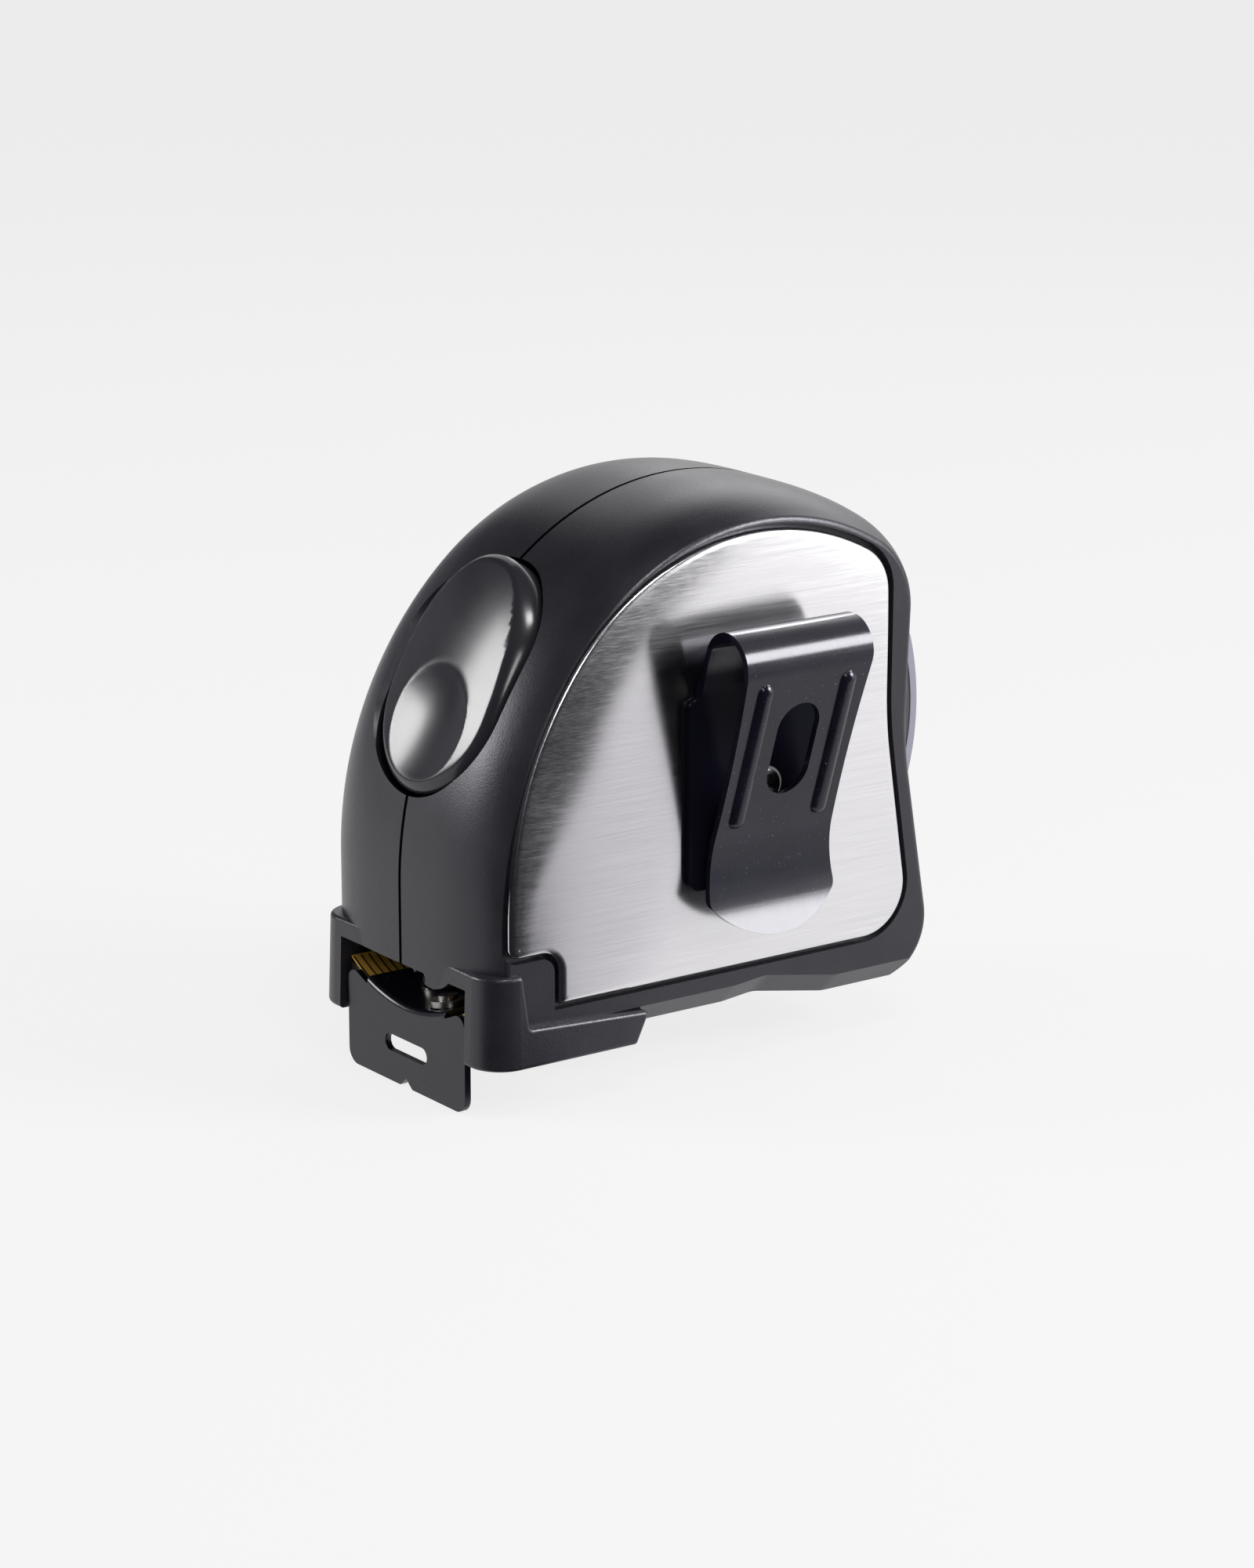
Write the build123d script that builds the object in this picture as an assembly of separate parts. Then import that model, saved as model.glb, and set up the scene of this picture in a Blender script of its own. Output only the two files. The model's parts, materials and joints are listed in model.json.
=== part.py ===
from build123d import *
import math
import os

os.makedirs("parts", exist_ok=True)

# Pocket tape measure with steel side panels, in millimetres.
# X runs forward out of the mouth, Y to the belt clip's side, Z up.
# The origin is on the front face of the end hook, the zero of the scale,
# on the mid-plane, at the level of the foot.

# Blade and end hook
blade_width = 25.0
blade_thickness = 0.2
blade_curve = 24.0              # radius of the dished cross-section, on its under side
blade_low = 2.5                 # height of the under side at the middle of the blade
blade_stretch = 33.0            # straight stretch from the hook to the coil
hook_inset = 0.5                # how far the hook's sides stand inside the blade's edges
hook_thickness = 0.8
hook_drop = 6.2                 # how far the hook hangs below the foot
hook_corner = 1.8
hook_ear_round = 1.4
hook_bend = 0.75
hook_slot_length = 8.6          # slot that hangs on a nail
hook_slot_width = 2.0
hook_slot_height = -1.6
hook_notch_width = 2.4
hook_notch_depth = 1.0
hook_notch_round = 0.5
tongue_width = 16.0
tongue_length = 11.0
hook_float = 1.0                # play that makes inside and outside measures agree
rivet_radius = 1.2
rivet_head_radius = 2.1
rivet_head_height = 0.7
rivet_crown_height = 0.5
rivet_tail_height = 0.35
rivet_side = 4.0
rivet_front = 3.4
rivet_rear = 7.4

# Case outline at the mid-plane, going up the front, over the top and down the back
case_front = 0.55
case_front_height = 17.8
case_front_radius = 45.9
case_front_turn = 48.1          # turns are in degrees of heading
case_top_radius = 34.9
case_top_turn = 73.3
case_shoulder_radius = 12.4
case_shoulder_turn = 61.1
case_back_run = 11.3
case_waist_radius = 37.0
case_waist_turn = 12.0
case_heel_radius = 10.0
case_low = -2.5                 # the outline runs below the base, which is then cut flat
side_wall = 2.2                 # left between the reel's room and the panel's recess
crown_drop = 3.0                # how far the outline draws in from the mid-plane to the side
crown_power = 4.0
rim_round = 0.8
wall = 1.6
floor_thickness = 0.9
seam_width = 0.15
seam_depth = 0.8

# Base and foot
arch_height = 1.4               # clearance under the belly between the foot and the heel
arch_start = 34.0
arch_end = 38.4
arch_peak = 0.45                # the belly lifts a little before it falls to the heel
heel_start = 48.6
arch_round = 5.0
base_slope = 2.6                # sloped edge along the bottom of the sides
foot_front = 0.7
foot_length = 21.3
foot_rear_rake = 1.9
foot_rear_height = 3.7
foot_ledge_height = 4.6
foot_flare = 1.2                # how far the foot stands out of the case's side
foot_edge = 0.5
foot_corner = 4.2
foot_draft = 2.0                # in degrees
horn_height = 10.8
horn_depth = 4.8
horn_rake = 0.8

# Mouth
mouth_roof = 8.7
mouth_sill = 1.0                # setback of the sill behind the hook's front face
lip_radius = 5.0
lip_side = 6.0
lip_low = 7.3
lip_notch_radius = 1.1
lip_notch_side = 3.9
guide_depth = 8.0
guide_height = 5.3
guide_groove_width = 5.0

# Side panels
panel_front = -2.7
panel_front_height = 15.9
panel_front_radius = 47.0
panel_front_turn = 36.0
panel_top_radius = 32.0
panel_top_turn = 82.6
panel_corner_radius = 5.8
panel_corner_turn = 61.9
panel_back_run = 11.7
panel_waist_radius = 50.0
panel_waist_turn = 9.0
panel_heel_radius = 6.0
panel_low = 6.4
panel_step_x = -9.4             # corner that clears the foot
panel_step_z = 12.6
panel_step_round = 2.4
panel_toe_round = 1.2
panel_seat = 1.2                # depth of the recess in the case
panel_proud = 0.35
panel_edge = 1.0
panel_gap = 0.6

# Reel
reel_setback = 4.2              # from the case's back to the coil
reel_z = 28.0
coil_radius = 21.4
drum_radius = 14.0
drum_wall = 1.0
web_thickness = 1.2
post_radius = 4.0
liner_thickness = 0.4
liner_gap = 0.2
liner_room = 0.5
spring_strip = 0.5
spring_pitch = 1.1
spring_margin = 0.7             # room between the spring and the drum's webs

# Lock button and brake
button_angle = 31.8             # place on the front arc, in degrees from level
button_length = 28.4
button_width = 20.8
button_thickness = 4.3
button_low_rise = 0.4           # top of the button above the case at its lower end
button_mid_rise = 0.5
button_high_rise = 2.8
button_edge = 1.0
button_gap = 0.6
well_taper = 38.0
well_depth = 1.6
dimple_ball = 34.0
dimple_depth = 1.0
dimple_from_end = 7.3
pin_radius = 1.0
pin_along = 9.5                 # from the button's middle towards its upper end
pin_depth = 4.2
pin_boss_radius = 2.4
pin_boss_reach = 8.6
hub_radius = 2.2
hub_reach = 8.2
lever_half_width = 4.2
lever_thickness = 2.5
lever_reach = 9.0
lever_knee_x = -7.6
lever_knee_z = 17.0
lever_ankle_x = -12.5
lever_round = 4.0
pad_length = 4.0
pad_rear = 20.5
pad_half_width = 7.0
pad_top = 5.6
pad_gap = 0.15
return_wire = 0.35              # radius of the return spring's wire
return_turns = 3
return_pitch = 0.8
return_leg = 4.0

# Belt clip
clip_width = 17.7
clip_back_width = 20.0
clip_sheet = 0.8
clip_back_low = 16.6
clip_shoulder = 39.0            # the wide back leg lies on the panel up to here
clip_corner = 1.5
clip_loop_out = 5.2             # outward places are counted from the back leg's face
clip_loop_z = 43.6
clip_loop_radius = 3.5
clip_pinch_out = 0.3            # where the front leg comes nearest
clip_pinch_z = 17.5
clip_lip_out = 3.8
clip_lip_z = 11.2
clip_lip_sag = 4.0              # depth of the lip's round end
clip_lip_over = 1.2             # the strip is bent longer than the lip, then trimmed
clip_waist = 0.65               # how far the front leg's sides draw in
clip_lip_bend = 14.0
clip_slot_length = 11.2
clip_slot_width = 5.8
clip_slot_z = 33.2
clip_rib_spread = 11.6
clip_rib_radius = 1.3
clip_rib_low = 25.3
clip_rib_high = 40.9
clip_rib_rise = 0.7

# Fasteners
screw_radius = 1.25
screw_head_radius = 2.2
screw_head_height = 1.4
screw_bite = 8.0                # length of thread past the parting face
clip_screw_length = 10.0
boss_radius = 2.6
boss_angles = (70.3, 125.0, 226.3)

# Strap bar at the back
strap_width = 15.0
strap_sheet = 1.0
strap_reach = 6.0               # from the case's back to the outside of the bar
strap_low = 20.3
strap_high = 40.8
strap_bow = 1.7
strap_corner = 3.0
strap_root = 1.2

# Clearances
slip = 0.05                     # radial running fit of pins and bores
touch = 0.05                    # between pieces that lie on each other
play = 0.3                      # between pieces that pass each other


# Planes and simple solids
def side_plane(y):
    return Plane(origin=(0, y, 0), x_dir=(1, 0, 0), z_dir=(0, -1, 0))


def front_plane(x):
    return Plane(origin=(x, 0, 0), x_dir=(0, 1, 0), z_dir=(1, 0, 0))


def slab(profile, y_low, y_high):
    return extrude(side_plane(y_high) * profile, y_high - y_low)


def block(x_low, x_high, y_low, y_high, z_low, z_high):
    centre = Pos((x_low + x_high) / 2, (y_low + y_high) / 2, (z_low + z_high) / 2)
    return centre * Box(x_high - x_low, y_high - y_low, z_high - z_low)


def rod(x, z, radius, y_low, y_high):
    return Pos(x, (y_low + y_high) / 2, z) * Rot(90, 0, 0) * Cylinder(radius, y_high - y_low)


def polar(x, z, radius, degrees):
    angle = math.radians(degrees)
    return (x + radius * math.cos(angle), z + radius * math.sin(angle))


# Outline of the case and of the panels, as a chain of tangent arcs
def side_outline(front, front_height, front_radius, front_turn, top_radius, top_turn, shoulder_radius,
                 shoulder_turn, back_run, waist_radius, waist_turn, heel_radius, low, inset=0.0):
    rise = JernArc((front - inset, front_height), (0, 1), front_radius - inset, front_turn)
    top = JernArc(rise @ 1, rise % 1, top_radius - inset, top_turn)
    shoulder = JernArc(top @ 1, top % 1, shoulder_radius - inset, shoulder_turn)
    back = Line(shoulder @ 1, (shoulder @ 1) + (shoulder % 1) * back_run)
    waist = JernArc(back @ 1, back % 1, waist_radius + inset, -waist_turn)
    heading = math.radians(90 + front_turn + top_turn + shoulder_turn - waist_turn)
    heel_fall = (heel_radius - inset) * (1 - math.cos(heading))
    run = ((waist @ 1).Y - heel_fall - low - inset) / -math.sin(heading)
    tail = Line(waist @ 1, (waist @ 1) + (waist % 1) * run)
    heel = JernArc(tail @ 1, tail % 1, heel_radius - inset, 360 - math.degrees(heading))
    close = Polyline(heel @ 1, (front - inset, low + inset), (front - inset, front_height))
    return make_face([rise, top, shoulder, back, waist, tail, heel, close])


def case_outline(inset):
    return side_outline(case_front, case_front_height, case_front_radius, case_front_turn, case_top_radius,
                        case_top_turn, case_shoulder_radius, case_shoulder_turn, case_back_run,
                        case_waist_radius, case_waist_turn, case_heel_radius, case_low, inset)


def panel_outline(inset):
    full = side_outline(panel_front, panel_front_height, panel_front_radius, panel_front_turn,
                        panel_top_radius, panel_top_turn, panel_corner_radius, panel_corner_turn,
                        panel_back_run, panel_waist_radius, panel_waist_turn, panel_heel_radius,
                        panel_low, inset)
    step_x = panel_step_x - inset
    step_z = panel_step_z + inset
    step = make_face(Polyline((step_x, 0), (step_x, step_z), (0, step_z), (0, 0), close=True))
    inner = step.vertices().sort_by_distance((step_x, step_z))[0]
    step = fillet(inner, panel_step_round + inset)
    trimmed = full - step
    toe = trimmed.vertices().sort_by_distance((panel_front - inset, step_z))[0]
    return fillet(toe, panel_toe_round - inset / 2)


# Places that several pieces share
hook_width = blade_width - 2 * hook_inset
mouth_half_width = blade_width / 2 + play
chamber_half_depth = blade_width / 2 + liner_gap + liner_thickness + liner_room
case_half_width = chamber_half_depth + side_wall + panel_seat
foot_half_width = case_half_width + foot_flare
panel_floor = case_half_width - panel_seat
panel_face = case_half_width + panel_proud
arc_x = case_front - case_front_radius
arc_chord = math.sqrt(case_front_radius ** 2 - (button_length / 2) ** 2)
button_sag = case_front_radius - arc_chord
button_mid = polar(arc_x, case_front_height, arc_chord, button_angle)
button_out = polar(0, 0, 1, button_angle)
button_up = (-button_out[1], button_out[0])
top_centre = polar(arc_x, case_front_height, case_front_radius - case_top_radius, case_front_turn)
shoulder_centre = polar(*top_centre, case_top_radius - case_shoulder_radius, case_front_turn + case_top_turn)
shoulder_end = case_front_turn + case_top_turn + case_shoulder_turn
strap_wall = polar(*shoulder_centre, case_shoulder_radius, shoulder_end)[0]
reel_x = strap_wall + reel_setback + coil_radius
clip_x = reel_x
boss_circle = coil_radius + 2 * play + boss_radius
boss_places = [polar(reel_x, reel_z, boss_circle, angle) for angle in boss_angles]
blade_centre_z = blade_low + blade_curve
tongue_under = blade_curve - blade_thickness - touch
tongue_top = tongue_under - hook_thickness
screw_seat = panel_floor - screw_head_height - touch
clip_face = panel_face + touch + clip_sheet
clip_loop_side = clip_face + clip_loop_out
clip_pinch = (clip_face + clip_pinch_out, clip_pinch_z)
clip_lip_side = clip_face + clip_lip_out


def crown_inset(y):
    return crown_drop * (y / case_half_width) ** crown_power


def on_button(along, out):
    x = button_mid[0] + along * button_up[0] + out * button_out[0]
    z = button_mid[1] + along * button_up[1] + out * button_out[1]
    return (x, z)


def button_plane(out):
    x, z = on_button(0, out)
    along = (button_up[0], 0, button_up[1])
    out = (button_out[0], 0, button_out[1])
    return Plane(origin=(x, 0, z), x_dir=along, z_dir=out)


def button_top():
    half = button_length / 2
    return ThreePointArc((-half, button_low_rise), (0, button_sag + button_mid_rise), (half, button_high_rise))


def above_button(along, height):
    # Place that stands square over the button's top
    top = button_top()
    tilt = math.degrees(math.acos((along - top.arc_center.X) / top.radius))
    return on_button(*polar(top.arc_center.X, top.arc_center.Y, top.radius + height, tilt))


def button_arc(depth, reach):
    # Three points of an arc that runs parallel to the button's top
    top = button_top()
    places = []
    for along in (-reach, 0, reach):
        rise = math.sqrt((top.radius - depth) ** 2 - (along - top.arc_center.X) ** 2)
        places.append(on_button(along, top.arc_center.Y + rise))
    return places


pin_x, pin_z = on_button(pin_along, -pin_depth)


def arc_section(radius_low, radius_high, half_width):
    # Cross-section of a dished strip, in the plane of Y and Z
    tilt_low = math.degrees(math.asin(half_width / radius_low))
    tilt_high = math.degrees(math.asin(half_width / radius_high))
    low = [polar(0, blade_centre_z, radius_low, 270 + tilt) for tilt in (-tilt_low, 0, tilt_low)]
    high = [polar(0, blade_centre_z, radius_high, 270 + tilt) for tilt in (-tilt_high, 0, tilt_high)]
    ends = [Line(low[0], high[0]), Line(low[2], high[2])]
    return make_face([ThreePointArc(*low), ThreePointArc(*high), *ends])


def dished_strip(radius_low, radius_high, half_width, x_low, x_high):
    return extrude(front_plane(x_low) * arc_section(radius_low, radius_high, half_width), x_high - x_low)


def rivet_frame(x, y):
    # The rivet stands square to the dished blade
    tilt = math.degrees(math.asin(y / blade_curve))
    foot = polar(0, blade_centre_z, blade_curve, 270 + tilt)
    return Pos(x, foot[0], foot[1]) * Rot(tilt, 0, 0)


rivet_frames = [rivet_frame(-rivet_front, rivet_side), rivet_frame(-rivet_rear, -rivet_side)]


# Case halves
def base_zone(lift):
    # Everything below the base line: flat foot, arched belly, flat heel
    far = 200
    arch = (-arch_start, arch_height + lift)
    peak = (-arch_end, arch_height + arch_peak + lift)
    heel = (-heel_start, lift)
    zone = make_face(Polyline((far, arch_height + lift), arch, peak, heel, (-far, lift), (-far, -far),
                              (far, -far), close=True))
    bends = [zone.vertices().sort_by_distance(place)[0] for place in (arch, peak, heel)]
    return fillet(bends, arch_round)


def base_cut():
    # The flat base, sloped up towards the sides
    inner = case_half_width - base_slope
    outer = case_half_width + 1
    slope = loft([side_plane(inner) * base_zone(0), side_plane(outer) * base_zone(outer - inner)], ruled=True)
    return slab(base_zone(0), -1, inner) + slope


def foot_solid():
    ledge_x = foot_front - horn_depth - horn_rake
    horn_x = foot_front - horn_depth
    profile = make_face(Polyline((foot_front, 0), (foot_front, horn_height), (horn_x, horn_height),
                                 (ledge_x, foot_ledge_height), (-foot_length, foot_rear_height),
                                 (foot_rear_rake - foot_length, 0), close=True))
    plan = RectangleRounded(4 * foot_length, 2 * foot_half_width, foot_corner)
    drafted = Pos(foot_front - 2 * foot_length, 0, 0) * extrude(plan, 2 * horn_height, taper=foot_draft)
    solid = slab(profile, 0, foot_half_width) & drafted
    return fillet(solid.edges().filter_by_position(Axis.Y, foot_edge, foot_half_width), foot_edge)


def crowned_half():
    stations = [case_half_width * share for share in (0, 0.35, 0.6, 0.78, 0.9, 1)]
    sections = [side_plane(y) * case_outline(crown_inset(y)) for y in stations]
    half = loft(sections)
    rim = half.faces().sort_by(Axis.Y)[-1].edges()
    return fillet(rim, rim_round) - base_cut()


def chamber():
    # Hollow of one half, with its screw bosses and pin lug left standing
    hollow = slab(case_outline(wall + crown_inset(chamber_half_depth)) - base_zone(floor_thickness), -1,
                  chamber_half_depth)
    hollow += rod(reel_x, reel_z, coil_radius + 2 * play, -1, chamber_half_depth)
    for x, z in boss_places:
        hollow -= rod(x, z, boss_radius, -1, chamber_half_depth)
    hollow -= rod(pin_x, pin_z, pin_boss_radius, pin_boss_reach, chamber_half_depth)
    return hollow


def mouth_cut(lipped):
    section = make_face(Polyline((-1, floor_thickness), (mouth_half_width, floor_thickness),
                                 (mouth_half_width, mouth_roof), (-1, mouth_roof), close=True))
    if lipped:
        lip = Pos(lip_side, lip_low + lip_radius) * Circle(lip_radius)
        section -= lip - Pos(lip_notch_side, lip_low + lip_notch_radius / 2) * Circle(lip_notch_radius)
    depth = mouth_sill + guide_depth + case_front
    passage = extrude(front_plane(case_front - depth) * section, depth + 1)
    return passage + block(-mouth_sill, case_front + 1, -1, mouth_half_width, -1, blade_low)


def button_well():
    hole = extrude(button_plane(-well_depth - 3 * wall) * SlotOverall(button_length + 2 * button_gap,
                                                                    button_width + 2 * button_gap), 9 * wall)
    dish = extrude(button_plane(button_sag - well_depth) * SlotOverall(button_length + 2 * button_gap,
                                                                     button_width + 2 * button_gap),
                   3 * well_depth, taper=-well_taper)
    return hole + dish


def strap_face(grow, thick):
    # Filled outline of the strap bar: two corners and a bowed back
    back = strap_wall - strap_reach - grow + thick
    root = strap_wall + strap_root + grow + thick
    low = strap_low - grow + thick
    high = strap_high + grow - thick
    bow = ThreePointArc((back + strap_bow, low), (back, (low + high) / 2), (back + strap_bow, high))
    face = make_face([bow, Polyline(bow @ 1, (root, high), (root, low), bow @ 0)])
    corners = [face.vertices().sort_by_distance(bow @ end)[0] for end in (0, 1)]
    return fillet(corners, strap_corner - thick + grow)


def strap_bar(grow=0.0):
    half = strap_width / 2 + grow
    return slab(strap_face(grow, 0) - strap_face(-grow, strap_sheet), -half, half)


def seam_cut():
    return slab(case_outline(-1) - case_outline(seam_depth), -1, seam_width)


def side_cuts(side):
    # Panel recess, pin socket, strap bar slots and, by side, the screw holes
    cut = slab(panel_outline(-panel_gap), panel_floor, case_half_width + 1)
    cut += rod(pin_x, pin_z, pin_radius + slip, pin_boss_reach - 1, chamber_half_depth)
    cut += strap_bar(touch)
    bore = screw_radius + slip
    if side == "left":
        cut += rod(reel_x, reel_z, bore, 0, case_half_width)
    for x, z in boss_places:
        if side == "left":
            cut += rod(x, z, bore, -1, screw_bite + play)
        else:
            cut += rod(x, z, bore, -1, case_half_width)
            cut += rod(x, z, screw_head_radius + slip, screw_seat, case_half_width)
    return cut


def case_half(side):
    half = crowned_half() + foot_solid() - chamber() - mouth_cut(side == "left")
    return half - button_well() - seam_cut() - side_cuts(side)


def left_case_half():
    return case_half("left")


def right_case_half():
    return mirror(case_half("right"), Plane.XZ)


# Side panels
def side_panel(drilled):
    panel = slab(panel_outline(0), panel_floor, panel_face)
    rim = panel.faces().sort_by(Axis.Y)[-1].edges()
    panel = fillet(rim, panel_edge)
    if drilled:
        panel -= rod(reel_x, reel_z, screw_radius + slip, panel_floor - 1, panel_face + 1)
    return panel


def left_side_panel():
    return side_panel(True)


def right_side_panel():
    return mirror(side_panel(False), Plane.XZ)


# Blade, hook and guide
def blade():
    strip = dished_strip(blade_curve, blade_curve - blade_thickness, blade_width / 2,
                         -hook_thickness - touch - blade_stretch, -hook_thickness - touch)
    for frame in rivet_frames:
        strip -= frame * Cylinder(rivet_radius, 4 * hook_thickness)
    return strip


def hook_rivets():
    seat = blade_thickness + touch + hook_thickness + touch + rivet_head_radius ** 2 / (2 * tongue_top)
    shank = seat + rivet_tail_height
    rivet = Pos(0, 0, -rivet_tail_height / 2) * Cylinder(rivet_head_radius, rivet_tail_height)
    rivet += Pos(0, 0, shank / 2 - rivet_tail_height) * Cylinder(rivet_radius, shank)
    rivet += Pos(0, 0, seat + rivet_head_height / 2) * Cylinder(rivet_head_radius, rivet_head_height)
    crown = Cylinder(rivet_radius, rivet_crown_height)
    rivet += Pos(0, 0, seat + rivet_head_height + rivet_crown_height / 2) * crown
    return Compound([(frame * rivet).solid() for frame in rivet_frames])


def hook_plate():
    # The ears on both sides of the tongue end at the blade's upper face
    half = hook_width / 2
    plate = make_face(Polyline((-half, -hook_drop), (half, -hook_drop), (half, blade_centre_z / 2),
                               (-half, blade_centre_z / 2), close=True))
    plate -= Pos(0, blade_centre_z) * Circle(tongue_under)
    plate = fillet(plate.vertices().group_by(Axis.Y)[0], hook_corner)
    plate = fillet(plate.vertices().group_by(Axis.Y)[-1], hook_ear_round)
    plate -= Pos(0, hook_slot_height) * SlotOverall(hook_slot_length, hook_slot_width)
    plate -= make_face(Polyline((-hook_notch_width / 2, -hook_drop), (0, hook_notch_depth - hook_drop),
                                (hook_notch_width / 2, -hook_drop), close=True))
    ends = [(side * hook_notch_width / 2, -hook_drop) for side in (-1, 1)]
    plate = fillet([plate.vertices().sort_by_distance(end)[0] for end in ends], hook_notch_round)
    return extrude(front_plane(-hook_thickness) * plate, hook_thickness)


def end_hook():
    hook = hook_plate() + dished_strip(tongue_under, tongue_top, tongue_width / 2, -tongue_length, 0)
    bend = hook.edges().filter_by(GeomType.CIRCLE).sort_by_distance((0, 0, blade_centre_z - tongue_top))[0]
    hook = fillet(bend, hook_bend)
    slot = SlotOverall(2 * (rivet_radius + slip) + hook_float, 2 * (rivet_radius + slip))
    for frame in rivet_frames:
        hook -= frame * Pos(-hook_float / 2, 0, 0) * extrude(slot, 4 * hook_thickness)
    return hook


def blade_guide():
    half = mouth_half_width - touch
    rear = -mouth_sill - guide_depth
    guide = block(rear + touch, -mouth_sill, -half, half, floor_thickness, guide_height)
    bed = Rot(0, 90, 0) * Cylinder(blade_curve + pad_gap, 4 * guide_depth)
    guide -= Pos(rear, 0, blade_centre_z) * bed
    groove_floor = blade_low - rivet_tail_height - 2 * play
    for side in (-1, 1):
        guide -= block(-2 * guide_depth, 0, side * rivet_side - guide_groove_width / 2,
                       side * rivet_side + guide_groove_width / 2, groove_floor, guide_height + 1)
    return guide


# Reel
def ring(radius_in, radius_out, y_low, y_high):
    bore = rod(reel_x, reel_z, radius_in, y_low - 1, y_high + 1)
    return rod(reel_x, reel_z, radius_out, y_low, y_high) - bore


def blade_coil():
    return ring(drum_radius + touch, coil_radius, -blade_width / 2, blade_width / 2)


def reel_drum():
    half = blade_width / 2
    return ring(drum_radius - drum_wall, drum_radius, -half, half) + ring(
        post_radius + slip, drum_radius - drum_wall / 2, -half, web_thickness - half)


def drum_cover():
    half = blade_width / 2
    return ring(post_radius + slip, drum_radius - drum_wall - touch, half - web_thickness, half)


def reel_liner():
    low = blade_width / 2 + liner_gap
    return ring(post_radius + slip, coil_radius, low, low + liner_thickness)


def left_reel_liner():
    return reel_liner()


def right_reel_liner():
    return mirror(reel_liner(), Plane.XZ)


def centre_post():
    post = rod(reel_x, reel_z, post_radius, -chamber_half_depth, chamber_half_depth)
    bore_end = chamber_half_depth - clip_screw_length
    post -= rod(reel_x, reel_z, screw_radius + slip, bore_end, chamber_half_depth + 1)
    half = spring_strip / 2 + touch
    return post - block(reel_x + post_radius / 2, reel_x + 2 * post_radius, -blade_width, blade_width,
                        reel_z - half, reel_z + half)


def power_spring():
    # Flat spiral of half turns about two centres, anchored in the post's slot
    start = post_radius + play
    limit = drum_radius - drum_wall - play - spring_strip
    turns = int((limit - start) / spring_pitch)
    inner = []
    outer = []
    for half_turn in range(2 * turns):
        radius = start + half_turn * spring_pitch / 2
        centre = reel_x + (half_turn % 2) * spring_pitch / 2
        angles = (0, 90, 180) if half_turn % 2 == 0 else (180, 270, 360)
        inner.append(ThreePointArc(*[polar(centre, reel_z, radius, angle) for angle in angles]))
        outer.append(ThreePointArc(*[polar(centre, reel_z, radius + spring_strip, angle) for angle in angles]))
    ends = [Line(inner[0] @ 0, outer[0] @ 0), Line(inner[-1] @ 1, outer[-1] @ 1)]
    strip = make_face(inner + outer + ends)
    tab_length = start + spring_strip - 0.6 * post_radius
    strip += Pos(reel_x + 0.6 * post_radius + tab_length / 2, reel_z) * Rectangle(tab_length, spring_strip)
    half = blade_width / 2 - web_thickness - spring_margin
    return slab(strip, -half, half)


# Lock button and brake
def button_shell(depth_high, depth_low, reach):
    high = button_arc(depth_high, reach)
    low = button_arc(depth_low, reach)
    return make_face([ThreePointArc(*high), Line(high[2], low[2]), ThreePointArc(*low), Line(low[0], high[0])])


def lock_button():
    reach = 0.7 * button_length
    body = extrude(button_plane(-3 * button_thickness) * SlotOverall(button_length, button_width),
                   6 * button_thickness)
    cap = body & slab(button_shell(0, button_thickness, reach), -button_width, button_width)
    top = cap.faces().sort_by(Axis((0, 0, 0), (button_out[0], 0, button_out[1])))[-1]
    cap = fillet(top.edges(), button_edge)
    along = dimple_from_end - button_length / 2
    x, z = above_button(along, dimple_ball - dimple_depth)
    return cap - Pos(x, 0, z) * Sphere(dimple_ball)


def lock_lever():
    beam = button_shell(button_thickness, button_thickness + lever_thickness, lever_reach)
    low = button_arc(button_thickness + lever_thickness / 2, lever_reach)[0]
    shoe_z = pad_top + lever_thickness / 2
    path = FilletPolyline(low, (lever_knee_x, lever_knee_z), (lever_ankle_x, shoe_z), (-pad_rear, shoe_z),
                          radius=lever_round)
    lever = slab(beam + trace(path, lever_thickness), -lever_half_width, lever_half_width)
    lever += rod(pin_x, pin_z, hub_radius, -hub_reach, lever_half_width)
    return lever - rod(pin_x, pin_z, pin_radius + slip, -hub_reach - 1, lever_half_width + 1)


def brake_pad():
    flat = Rectangle(2 * pad_half_width, 2 * pad_top)
    section = flat & (Pos(0, blade_centre_z) * Circle(blade_curve - blade_thickness - pad_gap))
    return extrude(front_plane(-pad_rear) * section, pad_length)


def button_pin():
    return rod(pin_x, pin_z, pin_radius, -chamber_half_depth, chamber_half_depth)


def button_spring():
    # Torsion spring on the pin, with its two legs along the button
    radius = pin_radius + 2 * slip + return_wire
    coil = Helix(return_pitch, return_pitch * return_turns, radius, (0, 0, 0), (0, 1, 0))
    start = Plane(origin=coil @ 0, z_dir=coil % 0) * Circle(return_wire)
    end = Plane(origin=coil @ 1, z_dir=coil % 1) * Circle(return_wire)
    wire = sweep(start, path=coil, is_frenet=True) + extrude(start, -return_leg) + extrude(end, return_leg)
    side = lever_half_width + return_wire + return_pitch / 2
    return Pos(pin_x, side, pin_z) * Rot(0, 90 - button_angle, 0) * wire


# Belt clip
def tangent_angle(point, side):
    # Direction from the loop's centre to where a line from the point touches the loop
    dy = point[0] - clip_loop_side
    dz = point[1] - clip_loop_z
    return math.degrees(math.atan2(dz, dy) + side * math.acos(clip_loop_radius / math.hypot(dy, dz))) % 360


def on_loop(angle):
    return polar(clip_loop_side, clip_loop_z, clip_loop_radius, angle)


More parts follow.
